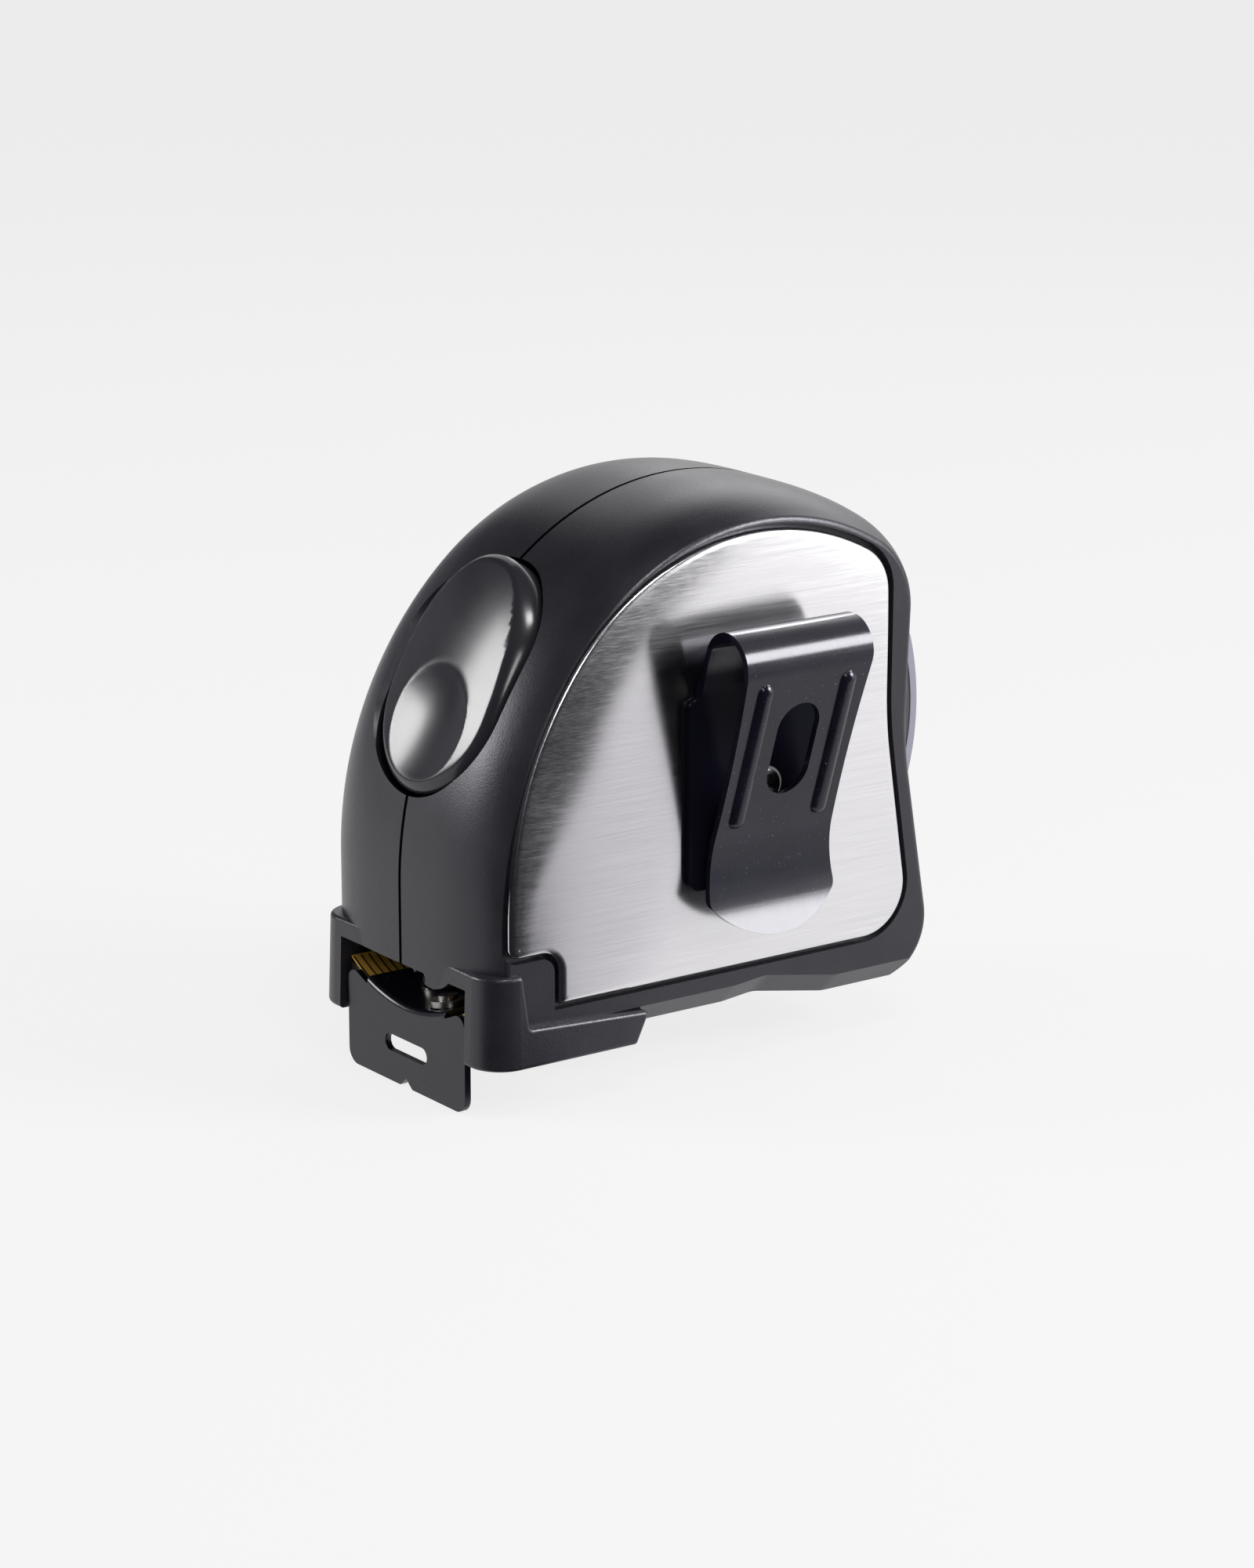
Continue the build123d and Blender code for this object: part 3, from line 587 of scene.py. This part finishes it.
class TapeSizes(bpy.types.PropertyGroup):
    """Sizes of the forms and details that the finishes add."""

    sheet_edge: length_setting("Sheet edge", "Rounding of the sheet pieces' edges", 0.12)
    # This half width also sets the painted shade along the case's parting groove.
    seam: length_setting("Seam", "Half width of the dark parting line", 0.32)
    panel_front: length_setting("Panel front", "Place of the panel's foremost edge", -2.7)
    panel_front_height: length_setting("Panel front height", "Height of the front arc's centre", 15.9)
    panel_front_radius: length_setting("Panel front radius", "Radius of the panel's front arc", 47.0)
    panel_front_turn: angle_setting("Panel front turn", "Turn of the panel's front arc", 36.0)
    panel_top_radius: length_setting("Panel top radius", "Radius of the panel's top arc", 32.0)
    panel_foot_roll: length_setting("Panel foot roll", "Width of the rolled front at its foot", 3.0)
    panel_roll: length_setting("Panel roll", "Width of the rolled front higher up", 12.0)
    panel_slope: angle_setting("Panel slope", "Slope of the roll at the front edge", 12.0)
    panel_top_slope: angle_setting("Panel top slope", "Slope of the roll at the top edge", 4.5)
    panel_edge: length_setting("Panel edge", "Rounding of the panel's edge", 0.6)
    button_x: length_setting("Button X", "Middle of the button's base, lengthways", -8.254)
    button_z: length_setting("Button Z", "Middle of the button's base, upwards", 40.801)
    button_tilt: angle_setting("Button tilt", "Way that the button faces, up from level", 31.8)
    button_length: length_setting("Button length", "Length of the button", 28.4)
    button_width: length_setting("Button width", "Width of the button", 20.8)
    button_low: length_setting("Button low end", "Height of the top at the lower end", 0.4)
    button_mid: length_setting("Button middle", "Height of the top at the middle", 2.752)
    button_high: length_setting("Button high end", "Height of the top at the upper end", 2.8)
    button_crown: length_setting("Button crown", "Radius of the top across the button", 70.0)
    flank_high: length_setting("Upper flank", "Width of the flank beside the button's upper half", 1.8)
    flank_low: length_setting("Lower flank", "Width of the flank round the two ends", 1.0)
    flank_fall: length_setting("Flank fall", "How far the upper flank falls", 2.3)
    flank_fall_low: length_setting("Lower flank fall", "How far the lower flank falls", 1.0)
    button_depth: length_setting("Button depth", "How far the button's wall goes down", -2.2)
    dimple_ball: length_setting("Dimple ball", "Radius of the thumb dimple's floor", 34.0)
    dimple_depth: length_setting("Dimple depth", "Depth of the thumb dimple", 1.0)
    dimple_end: length_setting("Dimple place", "Dimple's middle from the lower end", 7.8)
    dimple_rim: length_setting("Dimple rim", "Rounding of the dimple's rim", 0.05)
    # The next three sizes place the belt clip's painted shade, between clip and panel and over the roll's
    # top.
    clip_inner: length_setting("Clip inner side", "Faces nearer the middle than this are dull", 19.2)
    clip_top: length_setting("Clip roll", "Height above which the clip's roll is dull on its top", 45.0)
    clip_over: length_setting("Clip roll top", "How far the dull side reaches over the roll", 4.4)
    recess: length_setting("Screw recess", "Reach of the screw's cross recess", 1.25)
    recess_width: length_setting("Recess width", "Width of the cross recess's arms", 0.6)
    recess_depth: length_setting("Recess depth", "Depth of the cross recess", 0.9)
    tick_pitch: length_setting("Tick pitch", "Distance between the scale's lines", 1.0)
    tick_width: length_setting("Tick width", "Width of the scale's lines", 0.22)
    tick_length: length_setting("Tick length", "Length of the shortest lines", 4.5)
    tick_count: IntProperty(name="Tick count", description="Lines on the straight stretch of blade",
                            default=30, min=1)
    figure_size: length_setting("Figure size", "Height of the scale's figures", 4.5)
    blade_curve: length_setting("Blade curve", "Radius of the blade's upper face", 23.8)
    blade_centre: length_setting("Blade centre", "Height of the middle of that curve", 26.5)


class TapeStudio(bpy.types.PropertyGroup):
    """Camera, floor and light."""

    turn: angle_setting("Turn", "Camera's way round from the clip's side", 35.85)
    rise: angle_setting("Rise", "Camera's height above level", 15.1)
    eye: FloatVectorProperty(name="Eye", description="Place of the camera",
                             default=(0.26422, 0.40856, 0.16066), subtype="TRANSLATION", unit="LENGTH")
    lens: FloatProperty(name="Lens", description="Focal length", default=103.41, unit="CAMERA")
    paper: colour_setting("Paper", "Floor and background", (0.863, 0.863, 0.863))
    flag: colour_setting("Flag", "Dark card on the camera's side", (0.012, 0.012, 0.016))
    grey: colour_setting("Grey card", "Grey card beyond the front lamp", (0.25, 0.25, 0.28))
    pale: colour_setting("Pale card", "Pale card on the floor beside the panel", (0.64, 0.635, 0.66))
    fill: FloatProperty(name="Fill", description="Strength of the light from all round",
                        default=0.4, min=0.0)


# Pieces
class TAPE_OT_case(bpy.types.Operator):
    """Finish the two moulded halves of the case"""

    bl_idname = "tape.case"
    bl_label = "Case"

    def execute(self, context):
        finishes, sizes = context.scene.tape_finishes, context.scene.tape_sizes
        plastic = case_plastic(finishes.case, sizes.seam)
        dress("left_case_half", "case_left", plastic)
        dress("right_case_half", "case_right", plastic)
        return {"FINISHED"}


def panel_loops(node):
    """The outline of a panel's under face and its holes, as points lengthways and upwards, outline first."""
    shape = merged_shape(node)
    floor = min(abs(vert.co.y) for vert in shape.verts) + 0.01 * MM
    beside = {}
    for edge in shape.edges:
        start, end = edge.verts
        under = max(abs(start.co.y), abs(end.co.y)) < floor
        if under and any(abs(face.normal.y) < 0.5 for face in edge.link_faces):
            beside.setdefault(start, []).append(end)
            beside.setdefault(end, []).append(start)
    loops = []
    while beside:
        line = [max(beside, key=lambda vert: vert.co.x)]
        while True:
            after = next((vert for vert in beside.pop(line[-1]) if vert in beside), None)
            if after is None:
                break
            line.append(after)
        loops.append(np.array([(vert.co.x, vert.co.z) for vert in line]))
    shape.free()
    return loops


ROLL_WIDENS = (0.0, 0.45)  # turn of the front arc, in radians, over which the roll grows
ROLL_EASES = (1.0, 1.9)  # turn of the top arc, in radians, over which the roll's slope grows less


def panel_fall(points, distance, sizes):
    """How far the panel's face falls: a roll along the front and top, and a rounded edge."""
    x, z = points[:, 0], points[:, 1]
    front_x = sizes.panel_front - sizes.panel_front_radius
    turn = np.arctan2(z - sizes.panel_front_height, x - front_x)
    step = sizes.panel_front_radius - sizes.panel_top_radius
    top_x = front_x + step * math.cos(sizes.panel_front_turn)
    top_z = sizes.panel_front_height + step * math.sin(sizes.panel_front_turn)
    from_front = sizes.panel_front_radius - np.hypot(x - front_x, z - sizes.panel_front_height)
    from_top = sizes.panel_top_radius - np.hypot(x - top_x, z - top_z)
    within = np.where(turn < sizes.panel_front_turn, from_front, from_top)
    within = np.where(turn < 0, sizes.panel_front - x, within)
    about_top = np.arctan2(z - top_z, x - top_x)
    grow = soft_step(turn, *ROLL_WIDENS)
    wide = sizes.panel_foot_roll + (sizes.panel_roll - sizes.panel_foot_roll) * grow
    ease = soft_step(about_top, *ROLL_EASES)
    slope = sizes.panel_slope + (sizes.panel_top_slope - sizes.panel_slope) * ease
    roll = slope * wide / 3 * np.clip(1 - within / wide, 0, 1) ** 3
    return roll + edge_fall(distance, sizes.panel_edge)


class TAPE_OT_panels(bpy.types.Operator):
    """Form the brushed steel side panels, with their rolled front"""

    bl_idname = "tape.panels"
    bl_label = "Side panels"

    def execute(self, context):
        finishes, sizes = context.scene.tape_finishes, context.scene.tape_sizes
        steel = brushed_steel(finishes.panel)
        rim_step, spacing = 0.6 * MM, 0.8 * MM
        for side, sign in (("left", 1), ("right", -1)):
            node = side + "_side_panel"
            low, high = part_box(node)
            face = max(abs(low.y), abs(high.y))
            back = min(abs(low.y), abs(high.y))

            def height(points, distance):
                return face - panel_fall(points, distance, sizes)

            def place(points, tall):
                return np.stack([points[:, 0], sign * tall, points[:, 1]], 1)

            loops = [split_line(loop, rim_step) for loop in panel_loops(node)]
            made = formed_sheet("panel_" + side, steel, loops, spacing, [], height, place, back)
            stand_for(made, node)
        return {"FINISHED"}


class TAPE_OT_clip(bpy.types.Operator):
    """Finish the belt clip, its screw and the strap bar"""

    bl_idname = "tape.clip"
    bl_label = "Belt clip"

    def execute(self, context):
        finishes, sizes = context.scene.tape_finishes, context.scene.tape_sizes
        black = black_paint("clip_black", finishes.clip, 0.2,
                            sizes.clip_inner, sizes.clip_top, sizes.clip_over)
        dress("belt_clip", "belt_clip_sheet", black, sizes.sheet_edge)
        self.screw(finishes, sizes)
        _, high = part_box("strap_bar")
        grey = strap_steel(finishes.strap, finishes.strap_edge, high.y)
        dress("strap_bar", "strap_bar_strip", grey, sizes.sheet_edge)
        return {"FINISHED"}

    def screw(self, finishes, sizes):
        """The screw's head gets a cross recess, a little turned, that narrows downwards."""
        steel = bare_steel("screw_steel", finishes.screw, 0.3)
        made = from_shape("clip_screw_head", merged_shape("clip_screw"), steel)
        low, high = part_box("clip_screw")
        middle = (low + high) / 2
        reach, half, depth = sizes.recess, sizes.recess_width / 2, sizes.recess_depth
        outline = [(reach, half), (half, half), (half, reach)]
        set_turn = 25
        cross = bmesh.new()
        rings = []
        for grow, y in ((1.1, high.y + 0.2 * MM), (0.55, high.y - depth)):
            ring = []
            for quarter in range(4):
                turn = math.radians(quarter * 90 + set_turn)
                for u, v in outline:
                    x = (u * math.cos(turn) - v * math.sin(turn)) * grow
                    z = (u * math.sin(turn) + v * math.cos(turn)) * grow
                    ring.append(cross.verts.new((middle.x + x, y, middle.z + z)))
            rings.append(ring)
        count = len(rings[0])
        for k in range(count):
            after = (k + 1) % count
            cross.faces.new((rings[0][k], rings[0][after], rings[1][after], rings[1][k]))
        cross.faces.new(rings[0])
        cross.faces.new(rings[1])
        bmesh.ops.recalc_face_normals(cross, faces=cross.faces)
        cutter = from_shape("recess", cross, steel)
        cut = made.modifiers.new("recess", "BOOLEAN")
        cut.object = cutter
        cut.operation = "DIFFERENCE"
        settle(made)
        bpy.data.objects.remove(cutter)
        stand_for(shaded(made), "clip_screw")


class TAPE_OT_button(bpy.types.Operator):
    """Form the lock button, with its crown and thumb dimple"""

    bl_idname = "tape.button"
    bl_label = "Lock button"

    def execute(self, context):
        finishes, sizes = context.scene.tape_finishes, context.scene.tape_sizes
        half = sizes.button_length / 2
        radius = sizes.button_width / 2
        rim_step, spacing, end_steps = 0.5 * MM, 0.55 * MM, 48
        ends = []
        for sign in (1, -1):
            for k in range(end_steps + 1):
                turn = math.radians(-90 + 180 * k / end_steps) + (0 if sign > 0 else math.pi)
                ends.append((sign * (half - radius) + radius * math.cos(turn), radius * math.sin(turn)))
        rim = split_line(np.array(ends), rim_step)
        arc_along, arc_out, arc_radius = self.top_arc(sizes)
        dimple_along = sizes.dimple_end - half
        lean = math.asin((dimple_along - arc_along) / arc_radius)
        ball_reach = arc_radius + sizes.dimple_ball - sizes.dimple_depth
        ball_along = arc_along + ball_reach * math.sin(lean)
        ball_out = arc_out + ball_reach * math.cos(lean)

        def crown(points):
            along, across = points[:, 0], points[:, 1]
            return (arc_out + np.sqrt(arc_radius ** 2 - (along - arc_along) ** 2)
                    - across ** 2 / (2 * sizes.button_crown))

        def dimple(points):
            away = (points[:, 0] - ball_along) ** 2 + points[:, 1] ** 2
            return ball_out - np.sqrt(sizes.dimple_ball ** 2 - away)

        def height(points, distance):
            share = soft_step(points[:, 0], -0.15 * half, 0.5 * half)
            share *= soft_step(abs(points[:, 1]), 0.25 * radius, 0.8 * radius)
            wide = sizes.flank_low + (sizes.flank_high - sizes.flank_low) * share
            fall = sizes.flank_fall_low + (sizes.flank_fall - sizes.flank_fall_low) * share
            out = np.clip(1 - distance / wide, 0, 1)
            flank = fall * (0.5 * out + 0.5 * (1 - np.sqrt(1 - out ** 2)))
            return soft_least(crown(points), dimple(points), sizes.dimple_rim) - flank

        def place(points, tall):
            cos, sin = math.cos(sizes.button_tilt), math.sin(sizes.button_tilt)
            x = sizes.button_x - points[:, 0] * sin + tall * cos
            z = sizes.button_z + points[:, 0] * cos + tall * sin
            return np.stack([x, points[:, 1], z], 1)

        plastic = button_plastic(finishes.button)
        extra = self.dimple_rings(ball_along, crown, dimple)
        made = formed_sheet("button_cap", plastic, [rim], spacing, extra, height, place, sizes.button_depth)
        stand_for(made, "lock_button")
        return {"FINISHED"}

    def top_arc(self, sizes):
        """Centre and radius of the arc through the top's two ends and middle."""
        half, mid = sizes.button_length / 2, sizes.button_mid
        rise = [(-half, sizes.button_low), (0.0, mid), (half, sizes.button_high)]
        rows = np.array([(2 * (b[0] - a[0]), 2 * (b[1] - a[1])) for a, b in zip(rise, rise[1:])])
        sums = np.array([b[0] ** 2 + b[1] ** 2 - a[0] ** 2 - a[1] ** 2 for a, b in zip(rise, rise[1:])])
        along, out = np.linalg.solve(rows, sums)
        return along, out, math.hypot(along, mid - out)

    def dimple_rings(self, along, crown, dimple):
        """Points on both sides of the line where the dimple meets the crown, found by halving."""
        turns = np.radians(np.arange(0, 360, 3))
        ways = np.stack([np.cos(turns), np.sin(turns)], 1)
        widest, halvings = 10 * MM, 40
        centre = np.array([along, 0])
        near, far = np.zeros(len(turns)), np.full(len(turns), widest)
        for _ in range(halvings):
            middle = (near + far) / 2
            points = centre + ways * middle[:, None]
            below = dimple(points) < crown(points)
            near, far = np.where(below, middle, near), np.where(below, far, middle)
        return [centre + ways * (near + step * MM)[:, None] for step in (-0.3, -0.12, 0.0, 0.12, 0.3)]


def scale_tree():
    """Lines across both edges of the blade and a figure at every tenth, dished to the blade's face."""
    group = bpy.data.node_groups.new("scale", "GeometryNodeTree")
    sockets = {"Pitch": "Float", "Count": "Int", "Line Width": "Float", "Line Length": "Float",
               "Blade Width": "Float", "Figure Size": "Float", "Curve": "Float", "Centre": "Float",
               "Ink": "Material"}
    for name, kind in sockets.items():
        group.interface.new_socket(name, in_out="INPUT", socket_type="NodeSocket" + kind)
    group.interface.new_socket("Geometry", in_out="OUTPUT", socket_type="NodeSocketGeometry")
    lay = Wiring(group)
    above_lacquer = 0.02 * MM

    def given(name):
        return lay.node("NodeGroupInput", {}, {}, name)

    def vector(x=0.0, y=0.0, z=0.0):
        return lay.node("ShaderNodeCombineXYZ", {}, {"X": x, "Y": y, "Z": z})

    def dished(flat):
        place = lay.node("GeometryNodeInputPosition", {}, {})
        across = lay.node("ShaderNodeSeparateXYZ", {}, {"Vector": place}, "Y")
        curve = given("Curve") - above_lacquer
        rise = given("Centre") - (curve * curve - across * across) ** 0.5
        return lay.node("GeometryNodeSetPosition", {}, {"Geometry": flat, "Offset": vector(z=rise)})

    def row(length, every, skip):
        rows = []
        for side in (1, -1):
            grid = {"Size X": given("Line Width"), "Size Y": length, "Vertices X": 2, "Vertices Y": 9}
            line = lay.node("GeometryNodeMeshGrid", {}, grid)
            shift = vector(y=(given("Blade Width") - length) * (side * 0.5))
            rows.append(lay.node("GeometryNodeTransform", {}, {"Geometry": line, "Translation": shift}))
        lines = dished(lay.node("GeometryNodeJoinGeometry", {}, {"Geometry": rows}))
        step = vector(x=given("Pitch") * -every)
        ratio = given("Count") / every
        run = {"Count": ratio.math("FLOOR", ratio), "Start Location": step, "Offset": step}
        spots = lay.node("GeometryNodeMeshLine", {}, run)
        index = lay.node("GeometryNodeInputIndex", {}, {}) + 1
        chosen = (index % skip) > 0.5 if skip else True
        copies = {"Points": spots, "Selection": chosen, "Instance": lines}
        return lay.node("GeometryNodeInstanceOnPoints", {}, copies)

    def figure(value):
        size = given("Figure Size")
        curves = lay.node("GeometryNodeStringToCurves", {}, {"String": str(value), "Size": size})
        strokes = lay.node("GeometryNodeRealizeInstances", {}, {"Geometry": curves})
        filled = lay.node("GeometryNodeFillCurve", {}, {"Curve": strokes})
        fine = lay.node("GeometryNodeSubdivideMesh", {}, {"Mesh": filled, "Level": 2})
        shift = vector(x=given("Pitch") * (-10 * value) + 0.5 * MM, y=size * -0.3)
        turn = {"Geometry": fine, "Rotation": (0, 0, math.pi), "Translation": shift}
        return dished(lay.node("GeometryNodeTransform", {}, turn))

    length = given("Line Length")
    parts = [row(length, 1, 5), row(length * 1.5, 5, 2), row(length * 1.8, 10, 0)]
    parts += [figure(value) for value in (1, 2, 3)]
    joined = lay.node("GeometryNodeJoinGeometry", {}, {"Geometry": parts})
    real = lay.node("GeometryNodeRealizeInstances", {}, {"Geometry": joined})
    inked = lay.node("GeometryNodeSetMaterial", {}, {"Geometry": real, "Material": given("Ink")})
    lay.node("NodeGroupOutput", {}, {"Geometry": inked})
    return group


def run_tree(name, group, values):
    """A plain mesh from a geometry tree."""
    made = add_object(name, bpy.data.meshes.new(name))
    modifier = made.modifiers.new("tree", "NODES")
    modifier.node_group = group
    for item in group.interface.items_tree:
        if item.in_out == "INPUT":
            modifier[item.identifier] = values[item.name]
    return settle(made)


class TAPE_OT_blade(bpy.types.Operator):
    """Finish the blade with its printed scale, the hook and the rivets"""

    bl_idname = "tape.blade"
    bl_label = "Blade and hook"

    def execute(self, context):
        finishes, sizes = context.scene.tape_finishes, context.scene.tape_sizes
        lacquer = blade_lacquer(finishes.blade)
        dress("blade", "blade_strip", lacquer)
        dress("blade_coil", "blade_winding", lacquer)
        dress("end_hook", "hook_plate", black_paint("hook_black", finishes.hook, 0.22), sizes.sheet_edge)
        dress("hook_rivets", "rivets", bare_steel("rivet_steel", finishes.rivet, 0.32))
        low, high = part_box("blade")
        bare_edges = 0.4 * MM
        values = {"Pitch": sizes.tick_pitch, "Count": sizes.tick_count, "Line Width": sizes.tick_width,
                  "Line Length": sizes.tick_length, "Blade Width": high.y - low.y - bare_edges,
                  "Figure Size": sizes.figure_size, "Curve": sizes.blade_curve, "Centre": sizes.blade_centre,
                  "Ink": ink(finishes.scale)}
        scale = run_tree("blade_scale", scale_tree(), values)
        if not scale.data.polygons:
            raise RuntimeError("the blade's scale came out empty")
        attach(scale, "blade")
        return {"FINISHED"}


class TAPE_OT_works(bpy.types.Operator):
    """Finish the reel, the springs, the brake and the other pieces inside"""

    bl_idname = "tape.works"
    bl_label = "Works"

    def execute(self, context):
        finishes = context.scene.tape_finishes
        moulding = moulded_plastic("inner_plastic", finishes.inner, 0.5)
        dark = moulded_plastic("guide_plastic", finishes.dark, 0.5)
        spring = bare_steel("spring_steel", finishes.spring, 0.3)
        for node in ("lock_lever", "reel_drum", "drum_cover", "centre_post"):
            paint(node, moulding)
        for node in ("blade_guide", "left_reel_liner", "right_reel_liner"):
            paint(node, dark)
        for node in ("button_pin", "button_spring", "power_spring", "case_screws"):
            paint(node, spring)
        paint("brake_pad", moulded_plastic("pad_rubber", finishes.pad, 0.75))
        return {"FINISHED"}


# Stage
FLOOR_REACH = 6.0
LAMP_AIM = Vector((-0.033, 0.0, 0.03))
LAMP_REACH = 0.6
LAMPS = (  # name, way from the tape measure, width and height in metres, brightness
    ("front_box", (0.76, -0.56, 0.35), (0.26, 0.19), 15.0),
    ("top_box", (-0.59, 0.68, 0.425), (0.26, 0.24), 23.0),
    ("back_box", (-0.711, -0.445, 0.545), (0.5, 0.3), 1.6),
    ("eye_box", (0.44, 0.765, 0.47), (0.1, 0.1), 11.0),
    ("high_box", (0.07, 0.495, 0.866), (0.13, 0.13), 24.0),
    ("side_strip", (-0.776, 0.628, 0.05), (0.25, 0.06), 6.0),
)


def soft_box(name, towards, size, brightness):
    """A rectangular lamp that stands in a direction from the tape measure and faces it."""
    lamp = bpy.data.lights.new(name, "AREA")
    lamp.shape = "RECTANGLE"
    lamp.size, lamp.size_y = size
    lamp.energy = brightness * math.pi * size[0] * size[1]
    made = add_object(name, lamp)
    way = Vector(towards).normalized()
    made.location = LAMP_AIM + way * LAMP_REACH
    made.rotation_euler = way.to_track_quat("Z", "Y").to_euler()
    made.visible_camera = False


def paper(colour):
    """Floor paper: the plain background to the camera and in reflections, and a little of the real shade."""
    recipe = Recipe("paper")
    matte = recipe.node("ShaderNodeBsdfDiffuse", {}, {"Color": colour})
    glow = recipe.node("ShaderNodeEmission", {}, {"Color": colour, "Strength": 1.02})
    plain = recipe.seen() * 0.92
    return recipe.surface(recipe.node("ShaderNodeMixShader", {}, {0: plain, 1: matte, 2: glow}))


def backdrop(colour, fill):
    """The same background behind the floor, and an even light from all round."""
    world = bpy.data.worlds.new("studio")
    world.use_nodes = True
    air = Wiring(world.node_tree)
    strength = air.seen() * (1 - fill) + fill
    light = air.node("ShaderNodeBackground", {}, {"Color": colour, "Strength": strength})
    air.node("ShaderNodeOutputWorld", {}, {"Surface": light})
    return world


def flag(name, colour, bands, mat=None, reach=1.4):
    """Cards that show in reflections alone: bands of a wall all round, and a mat on part of the floor.

    A band is its first and last turn and its lowest and highest rise, in degrees.
    The mat lies between two turns."""
    recipe = Recipe(name)
    card = recipe.surface(recipe.node("ShaderNodeEmission", {}, {"Color": colour}))
    apex = Vector((-0.01, 0.017, CAD_BOX[0][2] + 0.2 * MM))
    turn_steps, rise_steps = 24, 6
    shape = bmesh.new()

    def ring(start, end, rise):
        level, up = math.cos(math.radians(rise)), math.sin(math.radians(rise))
        turns = np.radians(np.linspace(start, end, turn_steps + 1))
        ways = [Vector((math.cos(turn) * level, math.sin(turn) * level, up)) for turn in turns]
        return [shape.verts.new(apex + reach * way) for way in ways]

    for start, end, low, high in bands:
        rings = [ring(start, end, rise) for rise in np.linspace(low, high, rise_steps + 1)]
        for below, above in zip(rings, rings[1:]):
            for k in range(turn_steps):
                shape.faces.new((below[k], below[k + 1], above[k + 1], above[k]))
    if mat:
        point = shape.verts.new(apex)
        edge = ring(*mat, 0)
        for first, second in zip(edge, edge[1:]):
            shape.faces.new((point, first, second))
    made = from_shape(name, shape, card)
    for rays in ("camera", "diffuse", "shadow", "transmission", "volume_scatter"):
        setattr(made, "visible_" + rays, False)


class TAPE_OT_stage(bpy.types.Operator):
    """Set the floor, the soft light and the camera"""

    bl_idname = "tape.stage"
    bl_label = "Stage"

    def execute(self, context):
        scene = context.scene
        studio = scene.tape_studio
        scene.view_settings.view_transform = "Standard"
        self.lay_floor(studio)
        walls = [(-66, 122.5, 0, 56), (-105, -66, 22, 56), (-180, 180, 56, 89)]
        flag("dark_flag", studio.flag, walls, (-5, 122.5))
        flag("grey_flag", studio.grey, [(-110, -66, 0, 22)])
        flag("pale_flag", studio.pale, [], (122.5, 135), 0.2)
        scene.world = backdrop(studio.paper, studio.fill)
        for lamp in LAMPS:
            soft_box(*lamp)
        scene.camera = self.set_camera(studio)
        return {"FINISHED"}

    def lay_floor(self, studio):
        """A wide sheet of paper just under the tape measure."""
        z = CAD_BOX[0][2] - 0.05 * MM
        signs = ((-1, -1), (1, -1), (1, 1), (-1, 1))
        mesh = bpy.data.meshes.new("floor")
        mesh.from_pydata([(x * FLOOR_REACH, y * FLOOR_REACH, z) for x, y in signs], [], [(0, 1, 2, 3)])
        mesh.materials.append(paper(studio.paper))
        floor = add_object("floor", mesh)

    def set_camera(self, studio):
        """The camera at the photograph's viewing angle."""
        camera = bpy.data.cameras.new("camera")
        camera.lens = studio.lens
        camera.sensor_width = 36.0
        camera.sensor_fit = "AUTO"
        camera.clip_start = 0.01
        made = add_object("camera", camera)
        level = math.cos(studio.rise)
        behind = Vector((math.sin(studio.turn) * level, math.cos(studio.turn) * level, math.sin(studio.rise)))
        made.location = studio.eye
        made.rotation_euler = behind.to_track_quat("Z", "Y").to_euler()
        return made


class TAPE_PT_pieces(bpy.types.Panel):
    """Lists the pieces and the stage"""

    bl_idname = "TAPE_PT_pieces"
    bl_label = "Tape Measure"
    bl_space_type = "VIEW_3D"
    bl_region_type = "UI"
    bl_category = "Tape Measure"

    def draw(self, context):
        for operator in OPERATORS:
            self.layout.operator(operator.bl_idname)


GROUPS = (TapeFinishes, TapeSizes, TapeStudio)
OPERATORS = (TAPE_OT_case, TAPE_OT_panels, TAPE_OT_clip, TAPE_OT_button, TAPE_OT_blade,
             TAPE_OT_works, TAPE_OT_stage)
CLASSES = GROUPS + OPERATORS + (TAPE_PT_pieces,)


def register():
    for kind in CLASSES:
        bpy.utils.register_class(kind)
    bpy.types.Scene.tape_finishes = PointerProperty(type=TapeFinishes)
    bpy.types.Scene.tape_sizes = PointerProperty(type=TapeSizes)
    bpy.types.Scene.tape_studio = PointerProperty(type=TapeStudio)


def unregister():
    del bpy.types.Scene.tape_studio
    del bpy.types.Scene.tape_sizes
    del bpy.types.Scene.tape_finishes
    for kind in reversed(CLASSES):
        bpy.utils.unregister_class(kind)


def main():
    register()
    bpy.ops.tape.case()
    bpy.ops.tape.panels()
    bpy.ops.tape.clip()
    bpy.ops.tape.button()
    bpy.ops.tape.blade()
    bpy.ops.tape.works()
    bpy.ops.tape.stage()


if __name__ == "__main__":
    main()
